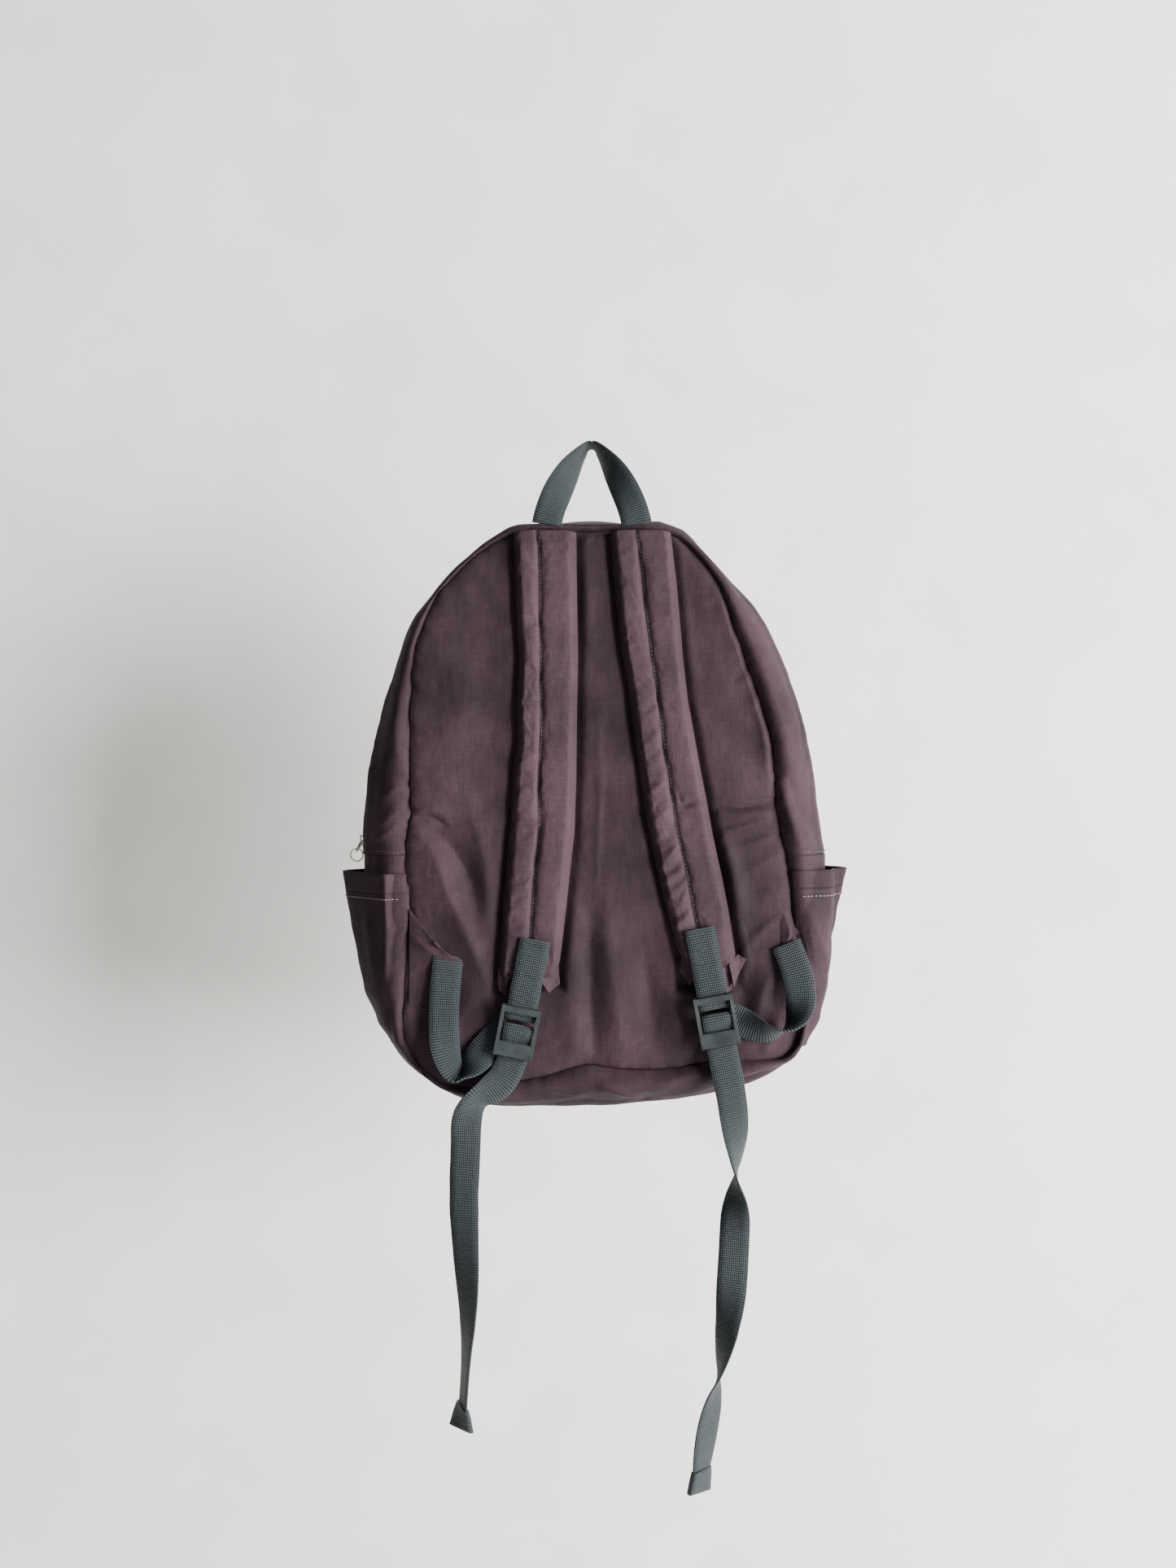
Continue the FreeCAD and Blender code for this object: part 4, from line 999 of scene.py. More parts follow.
for side in ("left", "right"):
    vertices, faces, pins = strapShape(side)
    pad = meshPiece("shoulder_pad_" + side, vertices, faces, strapNylon)
    outward(pad)
    print("strap", side, "blown by", round(inflate(pad, pins, **strapAir), 1), "mm")
    smooth = pad.modifiers.new("finer", "SUBSURF")
    smooth.levels = smooth.render_levels = 1
    pad = joinPieces("shoulder_pad_" + side, [pad])
    co = np.array([v.co for v in pad.data.vertices]) / mm
    x, y, z = co.T
    front = np.clip((-31.5 - y) / 4, 0, 1)
    low, high, seam = (edgeX(side, e, z) for e in ("outer", "inner", "seam"))
    wide = dict(left=1.0, right=1.7)[side]
    narrowSide = np.clip((seam - x) / 4, 0, 1)
    pull = narrowSide * np.clip((-z - 150) / 100, 0.25, 1) * wide
    p, q = x * 0.80 + z * 0.60, z * 0.80 - x * 0.60
    lift = 0.75 * pull * noiseAt(p / 26, q / 5.5, 5)
    lift += 0.32 * (1 - narrowSide) * noiseAt(x / 30 + 3, z / 6.5, 8) * np.exp(-np.clip(x - seam, 0, 99) / 9)
    lift += crumple(x, z, 77, 15, 0.26) + foldHeight(x, z, strapFolds[side])
    lift += 0.5 * noiseAt(x / 40, z / 24, 12)
    co[:, 1] -= lift * front * np.clip(np.abs(x - seam) / 2.5, 0, 1)
    pad.data.vertices.foreach_set("co", (co * mm).astype(np.float32).ravel())
    settle(pad, "strap_" + side, "shell_fabric", "strap_casing_" + side, "strap_foam_" + side)
    # The casing's two cuts meet in a lapped seam. A near-black strip laid in the seam channel stands for its
    # folded edge, and its colour is painted shadow that darkens the channel.
    seamRun = smoothLine(strapEdges[side]["seam"], 120)
    seamRun = seamRun[(seamRun[:, 1] < -79) & (seamRun[:, 1] > strapEnds[side][1] + 4)]
    seamY = strapPart["back"] - strapPart["seamThick"] - 0.5
    line = np.column_stack([seamRun[:, 0], np.full(len(seamRun), seamY), seamRun[:, 1]])
    seamShadowStrip = webbingPiece("strap_seam_lap_" + side, line, np.tile((1.0, 0, 0), (len(line), 1)), width=2.6,
                       thick=1.0, material=paintedSeamShadow, wander=0.1)[0]
    settle(seamShadowStrip, "strap_" + side, "shell_fabric")
    # The side that lies on the back is spacer mesh, let into the casing.
    grid = []
    for zz in np.linspace(strapEnds[side][0] - 3, strapEnds[side][1] + 3, 90):
        lowX, highX = edgeX(side, "outer", zz) + 3, edgeX(side, "inner", zz) - 3
        u = np.linspace(0, 1, 22)
        xx = lowX + (highX - lowX) * u
        yy = -28.25 + 0.75 * np.sin(math.pi * u) ** 0.5 + 0.1 * noiseAt(xx / 6, np.full_like(xx, zz / 6), 4)
        grid.append(np.stack([xx, yy, np.full_like(xx, zz)], -1))
    backing = clothPiece("strap_backing_mesh_" + side, np.array(grid), padMesh, thick=0.8, turn=True)
    settle(backing, "strap_" + side, "lining", "strap_backing_" + side)
print("straps made")


# Folded corners at the straps' lower ends
# A small folded flap of cloth between four corners: root, root, tip, tip.
def tuckPiece(name, corners, swell, material):
    grid, u, v = patchGrid(corners, 16)
    a, b, d = (np.array(corners[k], float) for k in (0, 1, 3))
    n = np.cross(b - a, d - a)
    n = n / np.linalg.norm(n)
    grid = grid + n * (swell * np.sin(math.pi * u) * (0.4 + 0.6 * v)
                       + 0.5 * noiseAt(u * 3 + 2, v * 3, 9))[..., None]
    return clothPiece(name, grid, material, thick=0.9)


tucks = dict(
    left=[[(-76, -30, -430), (-66, -39, -436), (-69.5, -38, -452), (-75, -34.5, -449)],
          [(-70, -33, -436), (-59, -38.5, -438), (-64, -37.5, -458), (-69.5, -35, -455)],
          [(-45, -38.5, -436), (-27, -31, -430), (-26, -31, -444), (-35, -36.5, -451)]],
    right=[[(73, -31, -421), (86, -39, -429), (79.5, -37.5, -444), (71, -33, -434)],
           [(110, -39, -428), (118, -31, -420), (125, -32, -424), (114, -37.5, -447)],
           [(104, -38.5, -430), (116, -33, -428), (113, -33.5, -448), (107.5, -37.5, -453)]])
for side in tucks:
    made = [tuckPiece("tuck", corners, 1.6, strapNylon) for corners in tucks[side]]
    settle(joinPieces("strap_end_tucks_" + side, made), "strap_" + side, "shell_fabric")


# Moulded and cast parts, rounded from their CAD shapes
# A copy of a CAD node with its flat faces joined again and its edges rounded.
def softened(name, node, width, material, segments=3):
    mesh = cadNodes[node].data.copy()
    mesh.name = name
    made = bmesh.new()
    made.from_mesh(mesh)
    bmesh.ops.remove_doubles(made, verts=made.verts, dist=0.00002)
    bmesh.ops.dissolve_limit(made, angle_limit=math.radians(4), verts=made.verts, edges=made.edges)
    bmesh.ops.recalc_face_normals(made, faces=made.faces)
    made.to_mesh(mesh)
    made.free()
    mesh.materials.clear()
    mesh.materials.append(material)
    piece = bpy.data.objects.new(name, mesh)
    bpy.context.scene.collection.objects.link(piece)
    bevel = piece.modifiers.new("rounded", "BEVEL")
    bevel.width = width * mm
    bevel.segments = segments
    bevel.limit_method = "ANGLE"
    bevel.angle_limit = math.radians(28)
    bevel.use_clamp_overlap = True
    piece = joinPieces(name, [piece])
    piece.data.polygons.foreach_set("use_smooth", [True] * len(piece.data.polygons))
    even = piece.modifiers.new("shaded by face", "WEIGHTED_NORMAL")
    even.keep_sharp = True
    return piece


for side in ("left", "right"):
    lock = softened("ladder_lock_piece_" + side, "ladder_lock_" + side, 1.1, lockPlastic)
    settle(lock, "lock_" + side, "lock_plastic", "ladder_lock_" + side)
for slider in ("main_slider", "pocket_slider"):
    settle(softened(slider + "_piece", slider, 0.45, sliderMetal, 2), slider, "slider_metal", slider)


# A split ring: two turns of wire that lie side by side, in the CAD ring's place.
def ringPiece(name, node, body):
    wire = ringWire["pitch"]
    low, high = (np.array(p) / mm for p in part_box(node))
    co = np.array([v.co for v in cadNodes[node].data.vertices]) / mm
    centre = (low + high) / 2
    axes = np.linalg.svd(co - co.mean(0), full_matrices=False)[2]
    far = np.linalg.norm(co - centre, axis=1).max() - wire
    line = []
    for k in range(150):
        a = k / 149 * 4 * math.pi
        shift = (k / 149 - 0.5) * wire * 1.05
        line.append(centre + axes[0] * far * math.cos(a) + axes[1] * far * math.sin(a) + axes[2] * shift)
    line = np.array(line)
    side = np.cross(unit(np.gradient(line, axis=0)), axes[2])
    around = np.linspace(0, 2 * math.pi, ringWire["around"], endpoint=False)
    vertices = [p + (s * math.cos(b) + axes[2] * math.sin(b)) * wire * ringWire["share"]
                for p, s in zip(line, side) for b in around]
    piece = meshPiece(name, vertices, tubeFaces(len(line), ringWire["around"]), ringMetal)
    outward(piece)
    return settle(piece, body, "ring_metal", node)


ringWire = dict(pitch=0.72, share=0.72, around=10)      # its radius is share * pitch, in mm
ringPiece("split_ring_upper", "pull_ring_upper", "upper_ring")
ringPiece("split_ring_lower", "pull_ring_lower", "lower_ring")
ringPiece("split_ring_pocket", "pocket_pull_ring", "pocket_ring")
print("locks, sliders and rings made")

# Webbing that is sewn down or runs through the locks
lockPlaces = dict(left=((-57.3, -469.0), 11.0), right=((97.9, -459.8), -10.5))


# Points given as Y and Z from the lock's top bar, carried to the strap; also the bar's direction.
def inLock(side, points):
    (x, z), lean = lockPlaces[side]
    c, s = math.cos(math.radians(lean)), math.sin(math.radians(lean))
    placed = [(x + p[1] * s, -40.8 + p[0], z + p[1] * c) for p in points]
    return np.array(placed), np.array([c, 0.0, -s])


def roundBar(y, z, radius, start, end, count=9):
    turn = np.radians(np.linspace(start, end, count))
    return [(y + radius * math.cos(a), z + radius * math.sin(a)) for a in turn]


for side in ("left", "right"):
    path = [(-1.35, 63.0), (-1.7, 55), (-1.9, 45), (-1.5, 36), (-1.5, 30), (-2.2, 20), (-2.75, 8)]
    path += roundBar(0, 0, 2.75, 180, 360) + [(2.75, 9), (2.6, 18), (2.2, 26)]
    points, bar = inLock(side, path)
    tab = webbingPiece("webbing_tab_piece_" + side, smoothLine(points, 110), np.tile(bar, (110, 1)), seed=23)[0]
    settle(tab, "strap_" + side, "webbing", "webbing_tab_" + side)
    path = [(2.9, -28), (2.9, -20), (2.2, -13.5)] + roundBar(-0.9, -9.5, 2.5, 10, 190, 7)
    path += [(-3.2, -13), (-1.2, -18.5), (0.8, -24), (1.0, -30.5)]
    points, bar = inLock(side, path)
    turned = webbingPiece("webbing_turn_piece_" + side, smoothLine(points, 70), np.tile(bar, (70, 1)),
                          width=24.0)[0]
    settle(turned, "lock_" + side, "webbing", "webbing_turn_" + side)

legs = [((36.5, -29.0, -71.5), (1, 0, 0)), ((34.6, -28.0, -60.0), (1, 0.1, 0)),
        ((23.0, -16.5, -32.0), (0.85, 0.6, 0)), ((7.5, -3.0, -8.0), (0.3, 1, 0))]
route = [(-p[0], p[1], p[2]) for p, c in legs] + [(0, 0, 0.8)] + [p for p, c in legs[::-1]]
turns = [c for p, c in legs] + [(0, 1, 0)] + [(-c[0], c[1], 0) for p, c in legs[::-1]]
line, across = routeAcross(dict(route=route, across=turns))
loopPiece, length = webbingPiece("grab_loop_piece", line, across, seed=29)
settle(loopPiece, "grab_loop", "webbing", "grab_loop")
print("grab loop", round(length), "mm")


# Side pockets
# A grid from stations down the pocket: each gives a height and its section from the back seam round
# to the front, as X, Y pairs.
def pocketGrid(stations, steps):
    zs = np.array([z for z, section in stations], float)
    sections = np.array([smoothLine(section, 70) for z, section in stations])
    at = np.linspace(zs[0], zs[-1], steps)
    rows = []
    for z in at:
        k = min(int(np.searchsorted(-zs, -z, side="right")) - 1, len(zs) - 2)
        t = (zs[k] - z) / (zs[k] - zs[k + 1])
        t = t * t * (3 - 2 * t) * 0.5 + t * 0.5
        xy = sections[k] * (1 - t) + sections[k + 1] * t
        rows.append(np.column_stack([xy[:, 0], xy[:, 1], np.full(len(xy), z)]))
    return np.array(rows)


pocketStations = dict(
    left=[(-355, [(-148, -26), (-157, -24.5), (-163, -31), (-168.5, -34), (-186, -14), (-206, 10), (-209, 26),
                  (-200, 44), (-178, 61)]),
          (-370, [(-148, -26), (-157, -25), (-163, -31), (-168, -33.5), (-185, -14), (-204.5, 10), (-207, 26),
                  (-199, 44), (-177.5, 61)]),
          (-395, [(-149, -26), (-158, -26.5), (-164, -31), (-168, -31), (-184, -12), (-200.5, 10), (-203, 26),
                  (-196, 44), (-176, 62)]),
          (-425, [(-151, -26.5), (-160, -28), (-166, -30), (-170, -27), (-183, -9), (-195, 11), (-197.5, 26),
                  (-191, 45), (-172, 64)]),
          (-455, [(-152.5, -26.5), (-162, -27), (-169, -25), (-175, -20), (-183, -6), (-190, 12), (-191.5, 27),
                  (-185, 47), (-166, 67)]),
          (-480, [(-153, -26), (-161, -25), (-167, -20), (-171, -14), (-176, -2), (-180, 13), (-180.5, 28),
                  (-174, 48), (-155, 69)]),
          (-497, [(-152, -26), (-157, -22), (-160, -16), (-163, -8), (-166, 2), (-168.5, 14), (-168.5, 28),
                  (-162, 49), (-143, 70)])],
    right=[(-352, [(161, -27), (170, -27.5), (182, -26), (193, -22), (199, -12), (201, -3), (213, 9), (207, 34),
                   (178, 61)]),
           (-366, [(162, -27), (171, -28), (183, -27), (194, -22), (199.5, -12), (201.5, -3), (210, 9),
                   (205, 34), (178, 61)]),
           (-390, [(164, -27), (172, -29), (183, -28), (194, -22), (199, -12), (201, -2), (205, 9), (201, 34),
                   (176, 62)]),
           (-420, [(167, -27), (174, -29), (183, -27), (192, -20), (197.5, -8), (199, 4), (199.5, 14),
                   (195, 36), (172, 64)]),
           (-448, [(170, -27), (176, -29), (184, -26), (191, -18), (195, -6), (196, 6), (195, 18), (190, 38),
                   (167, 67)]),
           (-474, [(171, -27), (176, -28), (182, -24), (187, -16), (189.5, -5), (190, 8), (188, 22), (180, 42),
                   (157, 69)]),
           (-496, [(167, -26), (170, -25), (174, -20), (177, -12), (178, -3), (177.5, 10), (174, 26), (164, 46),
                   (143, 70)])])
pocketFolds = dict(
    left=[([(-158, -356), (-161, -385), (-163, -405)], -2, 4, 4, 1.5),
          ([(-186, -372), (-182, -410), (-178, -445)], 2.0, 6, 6, 1.6),
          ([(-152, -392), (-160, -398), (-166, -408)], 2.2, 4, 4, 1.4),
          ([(-152, -402), (-158, -412), (-163, -428)], -2.2, 4, 4, 1.4)],
    right=[([(166, -376), (178, -392), (188, -418), (193, -440)], 3.0, 5, 9, 1.4),
           ([(163, -385), (171, -402), (176, -430)], -2.8, 4, 5, 1.4),
           ([(168, -386), (176, -404), (180, -430)], 2.0, 3, 4, 1.3),
           ([(192, -380), (196, -400), (199, -412)], -1.6, 5, 4, 1.4),
           ([(173, -450), (182, -462), (188, -470)], -2.0, 4, 5, 1.4)])
rayStart, alongY = -0.2, Vector((0, 1, 0))      # rays start clear of the side that the back panel faces
pocketPlan = dict(rows=90, hem=15)      # rows down the pocket, and the hem's depth in mm
pockets = {}
for side, sign in (("left", -1), ("right", 1)):
    stations = pocketStations[side]
    grid = pocketGrid(stations, pocketPlan["rows"])
    n = normalsOf(grid)
    if (n[..., 0] * sign).sum() < 0:
        n = -n
    x, z = grid[..., 0], grid[..., 2]
    front = np.clip((8 - grid[..., 1]) / 14, 0, 1)
    top = grid[0, 0, 2]
    fade = np.clip((top - z) / 10, 0, 1) * np.clip(np.arange(grid.shape[1]) / 4, 0, 1)
    lift = foldHeight(x, z, pocketFolds[side]) * front + crumple(grid[..., 1] * 1.2 + x, z, 91, 17, 0.4)
    grid = grid + n * (lift * fade)[..., None]
    beneath = BVHTree.FromObject(bpy.data.objects["side_panel_cloth_" + side],
                                 bpy.context.evaluated_depsgraph_get())
    for place in grid.reshape(-1, 3):
        hit = beneath.ray_cast(Vector((place[0] * mm, rayStart, place[2] * mm)), alongY)[0]
        if hit is not None and place[1] < 12:
            place[1] = min(place[1], hit.y / mm - 1.3)
    turn = (normalsOf(grid)[..., 0] * sign).sum() > 0
    rows = int(round(pocketPlan["rows"] * pocketPlan["hem"] / (stations[0][0] - stations[-1][0])))
    hem, body = grid[:rows + 1], grid[rows:]
    across = np.cumsum(np.linalg.norm(np.diff(grid, axis=1, prepend=grid[:, :1]), axis=2), axis=1)
    uv = np.stack([across, z], -1)
    piece = clothPiece("side_pocket_hem_cloth_" + side, hem + n[:rows + 1] * 0.35, shellNylon, thick=2.0,
                       turn=turn, uv=uv[:rows + 1])
    settle(piece, "pack", "shell_fabric", "side_pocket_hem_" + side)
    piece = clothPiece("side_pocket_cloth_" + side, body, shellNylon, thick=1.2, turn=turn, uv=uv[rows:])
    settle(piece, "pack", "shell_fabric", "side_pocket_" + side)
    pockets[side] = grid
print("side pockets made")


# Wings that carry the lower webbing
# A small sewn panel from its outline in X and Z: two sheets, with a soft belly.
def fanCloth(name, outline, y0, swell, folds, tilt):
    flat, u, v = patchGrid(outline, 44)
    x, z = flat[..., 0], flat[..., 1]
    lift = swell * np.sin(math.pi * u) ** 0.7 * np.sin(math.pi * v) ** 0.7
    lift += crumple(x, z, 15, 14, 0.4) + foldHeight(x, z, folds)
    return clothPiece(name, np.stack([x, y0 - lift - tilt * u * 4, z], -1), shellNylon, thick=1.6)


wings = dict(
    left=dict(outline=[(-148, -384), (-126, -412), (-103, -428), (-149, -467)], y0=-28.6, swell=1.0, tilt=1.0,
              folds=[([(-149, -402), (-130, -418), (-116, -424)], 1.6, 3, 4, 1.3),
                     ([(-140, -392), (-128, -408), (-112, -424)], 1.4, 1.2, 1.6, 1.2),
                     ([(-148, -440), (-132, -432), (-118, -424)], -1.2, 4, 4, 1.4)]),
    right=dict(outline=[(150, -380), (168, -402), (152, -421), (147, -444)], y0=-29.0, swell=1.4, tilt=0.3,
               folds=[([(156, -388), (160, -402), (156, -416)], 1.6, 2, 3, 1.3),
                      ([(150, -396), (152, -412), (150, -430)], -1.4, 3, 3, 1.3)]))
for side in wings:
    piece = fanCloth("strap_wing_cloth_" + side, **wings[side])
    outward(piece)
    settle(piece, "pack", "shell_fabric", "strap_wing_" + side)


# Repeated pieces along a line: stitches and zip teeth
# Instances of a small mesh along lines, a pitch apart, by a Geometry Nodes tree.
def alongLine(name, lines, part, pitch, material, normals, body="pack", slot="shell_fabric", replaced=()):
    spots, facings, ups = [], [], []
    for k, line in enumerate(lines):
        run = runOf(line)
        count = max(2, int(run[-1] / pitch))
        at = (np.arange(count) + 0.5) * run[-1] / count
        for found, values in ((spots, line), (facings, unit(np.gradient(line, axis=0))), (ups, normals[k])):
            found.append(np.stack([np.interp(at, run, values[:, c]) for c in range(3)], 1))
    spots, facings, ups = np.vstack(spots), unit(np.vstack(facings)), unit(np.vstack(ups))
    mesh = bpy.data.meshes.new(name)
    mesh.from_pydata([tuple(p) for p in spots * mm], [], [])
    turns = []
    for d, n in zip(facings, ups):
        side = np.cross(n, d)
        side /= max(np.linalg.norm(side), 1e-9)
        turns.append(Matrix(np.column_stack([d, side, np.cross(d, side)]).tolist()).to_euler())
    attribute = mesh.attributes.new("turn", "FLOAT_VECTOR", "POINT")
    attribute.data.foreach_set("vector", np.array(turns, np.float32).ravel())
    holder = bpy.data.objects.new(name, mesh)
    bpy.context.scene.collection.objects.link(holder)
    tree = bpy.data.node_groups.new(name + " tree", "GeometryNodeTree")
    for label, kind, way in (("Points", "NodeSocketGeometry", "INPUT"), ("Part", "NodeSocketObject", "INPUT"),
                             ("Size", "NodeSocketFloat", "INPUT"), ("Seed", "NodeSocketInt", "INPUT"),
                             ("Finish", "NodeSocketMaterial", "INPUT"),
                             ("Result", "NodeSocketGeometry", "OUTPUT")):
        tree.interface.new_socket(label, in_out=way, socket_type=kind)
    inside = addNode(tree, "NodeGroupInput")
    shape = addNode(tree, "GeometryNodeObjectInfo", links={"Object": inside.outputs["Part"]})
    turn = addNode(tree, "GeometryNodeInputNamedAttribute", {"data_type": "FLOAT_VECTOR"}, {"Name": "turn"})
    uneven = addNode(tree, "FunctionNodeRandomValue", {"data_type": "FLOAT"}, {2: 0.92, 3: 1.08},
                     {"Seed": inside.outputs["Seed"]})
    size = mathNode(tree, "MULTIPLY", uneven.outputs[1], inside.outputs["Size"])
    rotation = addNode(tree, "FunctionNodeEulerToRotation", links={0: turn.outputs[0]})
    placed = addNode(tree, "GeometryNodeInstanceOnPoints",
                     links={"Points": inside.outputs["Points"], "Instance": shape.outputs["Geometry"],
                            "Rotation": rotation.outputs[0], "Scale": size})
    real = addNode(tree, "GeometryNodeRealizeInstances", links={0: placed.outputs[0]})
    done = addNode(tree, "GeometryNodeSetMaterial", links={"Geometry": real.outputs[0],
                                                           "Material": inside.outputs["Finish"]})
    addNode(tree, "NodeGroupOutput", links={0: done.outputs[0]})
    modifier = holder.modifiers.new("repeat", "NODES")
    modifier.node_group = tree
    values = {"Part": part, "Size": 1.0, "Seed": 7, "Finish": material}
    for item in tree.interface.items_tree:
        if item.in_out == "INPUT" and item.name in values:
            modifier[item.identifier] = values[item.name]
    depsgraph = bpy.context.evaluated_depsgraph_get()
    made = bpy.data.meshes.new_from_object(holder.evaluated_get(depsgraph), depsgraph=depsgraph)
    bpy.data.objects.remove(holder)
    made.name = name
    if "turn" in made.attributes:
        made.attributes.remove(made.attributes["turn"])
    piece = bpy.data.objects.new(name, made)
    bpy.context.scene.collection.objects.link(piece)
    return settle(piece, body, slot, *replaced)


# A pillow of thread or a tooth: a box with its edges drawn in, lying along X.
def smallPart(name, length, width, height):
    vertices, rings = [], ((-0.5, 0.35), (-0.3, 1.0), (0.3, 1.0), (0.5, 0.35))
    for t, share in rings:
        for a in np.linspace(0, 2 * math.pi, 6, endpoint=False):
            vertices.append((t * length, math.cos(a) * width / 2 * share, math.sin(a) * height / 2 * share))
    piece = meshPiece(name, vertices, tubeFaces(len(rings), 6), stitchThread)
    outward(piece)
    return piece


stitch = smallPart("stitch", 2.5, 0.75, 0.6)
tooth = smallPart("tooth", 1.3, 3.0, 1.6)
toothPitch, toothAside = 1.75, 1.75      # along the zip, and to each side of its middle


# Drops X, Z points along Y onto a piece, from the side that the back panel faces, and lifts them.
def surfaceLine(piece, points, off):
    tree = BVHTree.FromObject(piece, bpy.context.evaluated_depsgraph_get())
    out, ups = [], []
    for x, z in points:
        place, normal = tree.ray_cast(Vector((x * mm, rayStart, z * mm)), alongY)[:2]
        if place is not None:
            normal = normal if normal.y < 0 else -normal
            out.append((place + normal * off * mm) / mm)
            ups.append(normal)
    return np.array(out), np.array(ups)


for side, sign in (("left", -1), ("right", 1)):
    seam = smoothLine(strapEdges[side]["seam"], 160)
    seam = seam[(seam[:, 1] < -80) & (seam[:, 1] > strapEnds[side][1] + 14)]
    line, ups = surfaceLine(bpy.data.objects["shoulder_pad_" + side], [(x + 0.9, z) for x, z in seam], 0.15)
    alongLine("strap_seam_stitches_" + side, [line], stitch, 3.3, stitchThread, [ups], "strap_" + side)
    rows = []
    for along in (58.5, 33.0):
        points, bar = inLock(side, [(-2.75, along)])
        rows.append(np.array([points[0] + bar * w for w in np.linspace(-10.5, 10.5, 12)]))
    alongLine("tab_stitches_" + side, rows, stitch, 2.6, stitchThread, [np.tile((0.0, -1.0, 0.0), (12, 1))] * 2,
              "strap_" + side, "webbing")
    hemRow = pockets[side][13, 4:52]
    hemUp = normalsOf(pockets[side])[13, 4:52]
    hemUp = hemUp if (hemUp[:, 0] * sign).sum() > 0 else -hemUp
    alongLine("pocket_hem_stitches_" + side, [hemRow + hemUp * 0.8], stitch, 3.6, paleThread, [hemUp])
rows, ups = [], []
for side in ("left", "right"):
    points, angles = wall[side]
    n = outwardNormals(points, angles)[0][1:34, 1]
    rows.append(points[1:34, 1] + n * 0.3 + np.array([0, 0, 4.0]))
    ups.append(n)
alongLine("side_seam_stitches", rows, stitch, 3.4, stitchThread, ups)
print("stitches made")


# Front panel, one cloth in place of the CAD panel's two halves
# Carries points built against Y = 0 onto the leaning front plane.
def tilted(x, y, z):
    a = math.radians(levels["lean"])
    c, s = math.cos(a), math.sin(a)
    dz = z + 300.0
    return np.stack([x, y * c - dz * s + levels["front"], -300.0 + y * s + dz * c], -1)


angle, share = diskGrid(130, 150)
x, z = onOutline(frontRound, angle, share)
away = (1 - share) * radiusAt(frontRound, angle)
frontFolds = [([(-120, -180), (-60, -200), (10, -190)], 1.6, 10, 12, 1.6),
              ([(90, -150), (60, -230), (80, -300)], 2.0, 9, 12, 1.6),
              ([(-90, -230), (-70, -280), (-85, -330)], 1.8, 8, 9, 1.6),
              ([(-10, -120), (0, -200), (-15, -300)], 1.5, 10, 10, 1.7)]
lift = 2.2 * (1 - np.exp(-away / 10)) + foldHeight(x, z, frontFolds) + crumple(x, z, 121, 18, 0.45)
lift = lift * np.clip(away / 6, 0, 1) + seamPuckers(angle * 170, away, 131, 0.9)
points = np.stack([x, frontLevel(z) + 2.0 + np.clip(lift, -1.0, 5.0), z], -1)
bendPiece(clothPiece("front_panel_cloth", points, shellNylon, thick=1.4, turn=True), "shell_fabric",
          ["front_panel_upper", "front_panel_lower"], "pack", "flap", **flapBend)

# Front pocket: a pouch with a straight zip near its top
pocketPart = dict(top=-352.0, foot=-530.0, rise=18.0, zip=-374.0, zipHalf=118.0, inset=8)


# Half width of the pocket's foot on the front panel at a height.
def pouchHalf(z):
    a = np.arange(720) / 2 * math.pi / 180
    px = middle[0] + (frontRound - pocketPart["inset"]) * np.sin(a)
    pz = middle[1] + (frontRound - pocketPart["inset"]) * np.cos(a)
    right = (px > 0) & (pz < -330)
    order = np.argsort(pz[right])
    return np.interp(z, pz[right][order], px[right][order])


u, v = np.meshgrid(np.linspace(-1, 1, 150), np.linspace(0, 1, 100))
z = pocketPart["top"] + (pocketPart["foot"] + 1.0 - pocketPart["top"]) * v
half = pouchHalf(z)
x = half * np.sign(u) * (1 - (1 - np.abs(u)) ** 1.25)
edge = np.minimum(half - np.abs(x), np.minimum(pocketPart["top"] - z, z - pocketPart["foot"] + 1.5))
rise = pocketPart["rise"] * (1 - np.exp(-(np.clip(edge, 0, 99) / 6.5) ** 1.3))
pouchFolds = [([(-100, -400), (-60, -430), (-70, -490)], 2.2, 9, 10, 1.6),
              ([(60, -395), (90, -440), (70, -500)], 2.4, 9, 10, 1.6),
              ([(-20, -400), (0, -450), (-10, -510)], 1.8, 10, 9, 1.6)]
lift = foldHeight(x, z, pouchFolds) + crumple(x, z, 141, 16, 0.5)
lift = lift + seamPuckers(x, pocketPart["zip"] - z, 143, 0.6) * (z < pocketPart["zip"] - 6)
slot = np.exp(-(np.abs(z - pocketPart["zip"]) / 6.5) ** 6) * (np.abs(x) < pocketPart["zipHalf"] + 2)
y = np.clip(rise + lift * np.clip(edge / 12, 0, 1), 0.6, 22) - 3.2 * slot
points = tilted(x, y + 2.0, z)
cut = int(np.argmin(np.abs(z[:, 0] - pocketPart["zip"])))
for name, rows, replaced in (("pocket_header_cloth", points[:cut + 1], "pocket_header"),
                             ("pocket_panel_cloth", points[cut:], "pocket_panel")):
    settle(clothPiece(name, rows, shellNylon, thick=1.2, turn=True), "pack", "shell_fabric", replaced)
xx = np.linspace(-115, 115, 120)
lines = [tilted(xx, np.full_like(xx, pocketPart["rise"] + 1.9), np.full_like(xx, pocketPart["zip"] + offset))
         for offset in (-1.9, 1.9)]
alongLine("pocket_zip_teeth", lines, tooth, toothPitch, coilNylon, [np.tile((0.0, 1.0, 0.05), (120, 1))] * 2,
          "pack", "zip_coil", ("pocket_zip_coils",))
print("front pocket made")

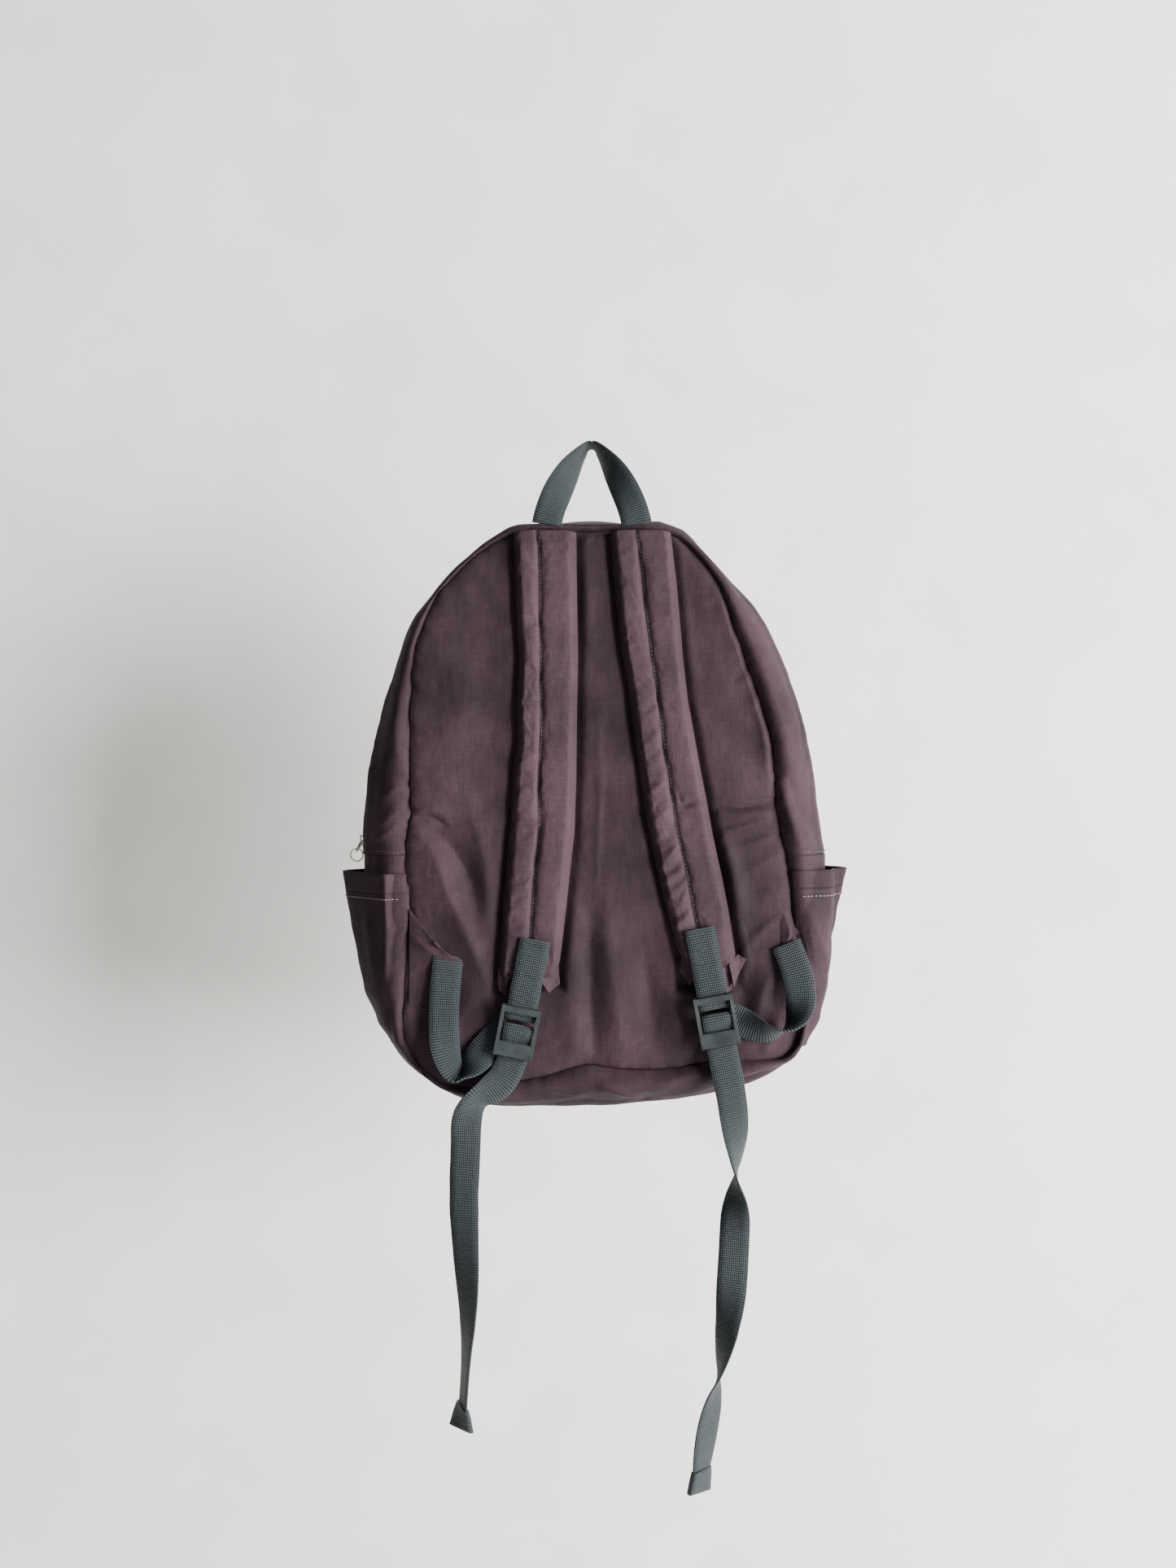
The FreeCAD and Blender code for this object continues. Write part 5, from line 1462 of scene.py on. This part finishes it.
# Main zip: coils of teeth along both tapes
a = np.radians(np.linspace(-99, 99, 520))
radius = radiusAt(zipRound, a) + 0.75
zipMiddle = (levels["zipRear"] + levels["zipFront"]) / 2
zipUps = straightOut(a)
zipLine = radius[:, None] * zipUps + np.array([middle[0], zipMiddle, middle[1]])
onRear, onFlap = zipLine[:, 2] > -338, zipLine[:, 2] > -319
ends = [~onFlap & onRear & (zipLine[:, 0] * sign > 0) for sign in (-1, 1)]
for name, chosen, shift, body, replaced in (
        ("main_zip_teeth_rear", [onRear], -toothAside, "pack", "main_zip_rear_coil"),
        ("main_zip_teeth_front", [onFlap], toothAside, "flap", "main_zip_front_coil"),
        ("main_zip_teeth_ends", ends, toothAside, "pack", "main_zip_end_coils")):
    alongLine(name, [zipLine[c] + np.array([0, shift, 0]) for c in chosen], tooth, toothPitch, coilNylon,
              [zipUps[c] for c in chosen], body, "zip_coil", (replaced,))
for piece in (stitch, tooth):
    bpy.data.objects.remove(piece)
print("zips made")

# Inside: lining, padding and slip pocket, seen when the flap is open
angle, share = diskGrid(60, 70)
x, z = onOutline(seamRound - 6.5, angle, share)
lining = np.stack([x, -18.2 + 1.0 * noiseAt(x / 40, z / 40, 3) + crumple(x, z, 151, 22, 0.4), z], -1)
piece = clothPiece("back_lining_cloth", lining, liningCloth, thick=0.9, turn=True)
settle(piece, "pack", "lining", "back_lining")
foam = np.stack([x, np.full_like(x, -22.4), z], -1)
piece = clothPiece("back_foam_sheet", foam, foamSkin, thick=5.0, inward=False)
settle(piece, "pack", "foam", "back_foam")
u, v = np.meshgrid(np.linspace(-118, 118, 60), np.linspace(-258, -498, 60))
sleeveY = -12.6 + 1.3 * np.sin(math.pi * (u + 118) / 236) + crumple(u, v, 161, 20, 0.5)
piece = clothPiece("slip_pocket_cloth", np.stack([u, sleeveY, v], -1), liningCloth, thick=0.9, turn=True)
settle(piece, "pack", "lining", "inner_sleeve")
xx = np.linspace(-118, 118, 90)
line = np.stack([xx, np.interp(xx, u[0], sleeveY[0]), np.full(90, -258.0)], -1)
binding = webbingPiece("slip_pocket_binding", line, np.tile((0, 0, 1.0), (90, 1)), width=9.0, thick=2.4,
                       material=zipTape)[0]
settle(binding, "pack", "lining", "inner_sleeve_binding")


# CAD pieces that stay as they are get their finish
tapes = ("main_zip_rear_tape", "main_zip_front_tape", "main_zip_end_tapes", "pocket_zip_tapes", "seam_binding")
stops = ("main_zip_stops", "pocket_zip_stops")
for name, material in [(name, tapeKnit) for name in tapes] + [(name, stopMetal) for name in stops]:
    mesh = cadNodes[name].data
    if len(mesh.materials):
        for k in range(len(mesh.materials)):
            mesh.materials[k] = material
    else:
        mesh.materials.append(material)

# Sizes
low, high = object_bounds()
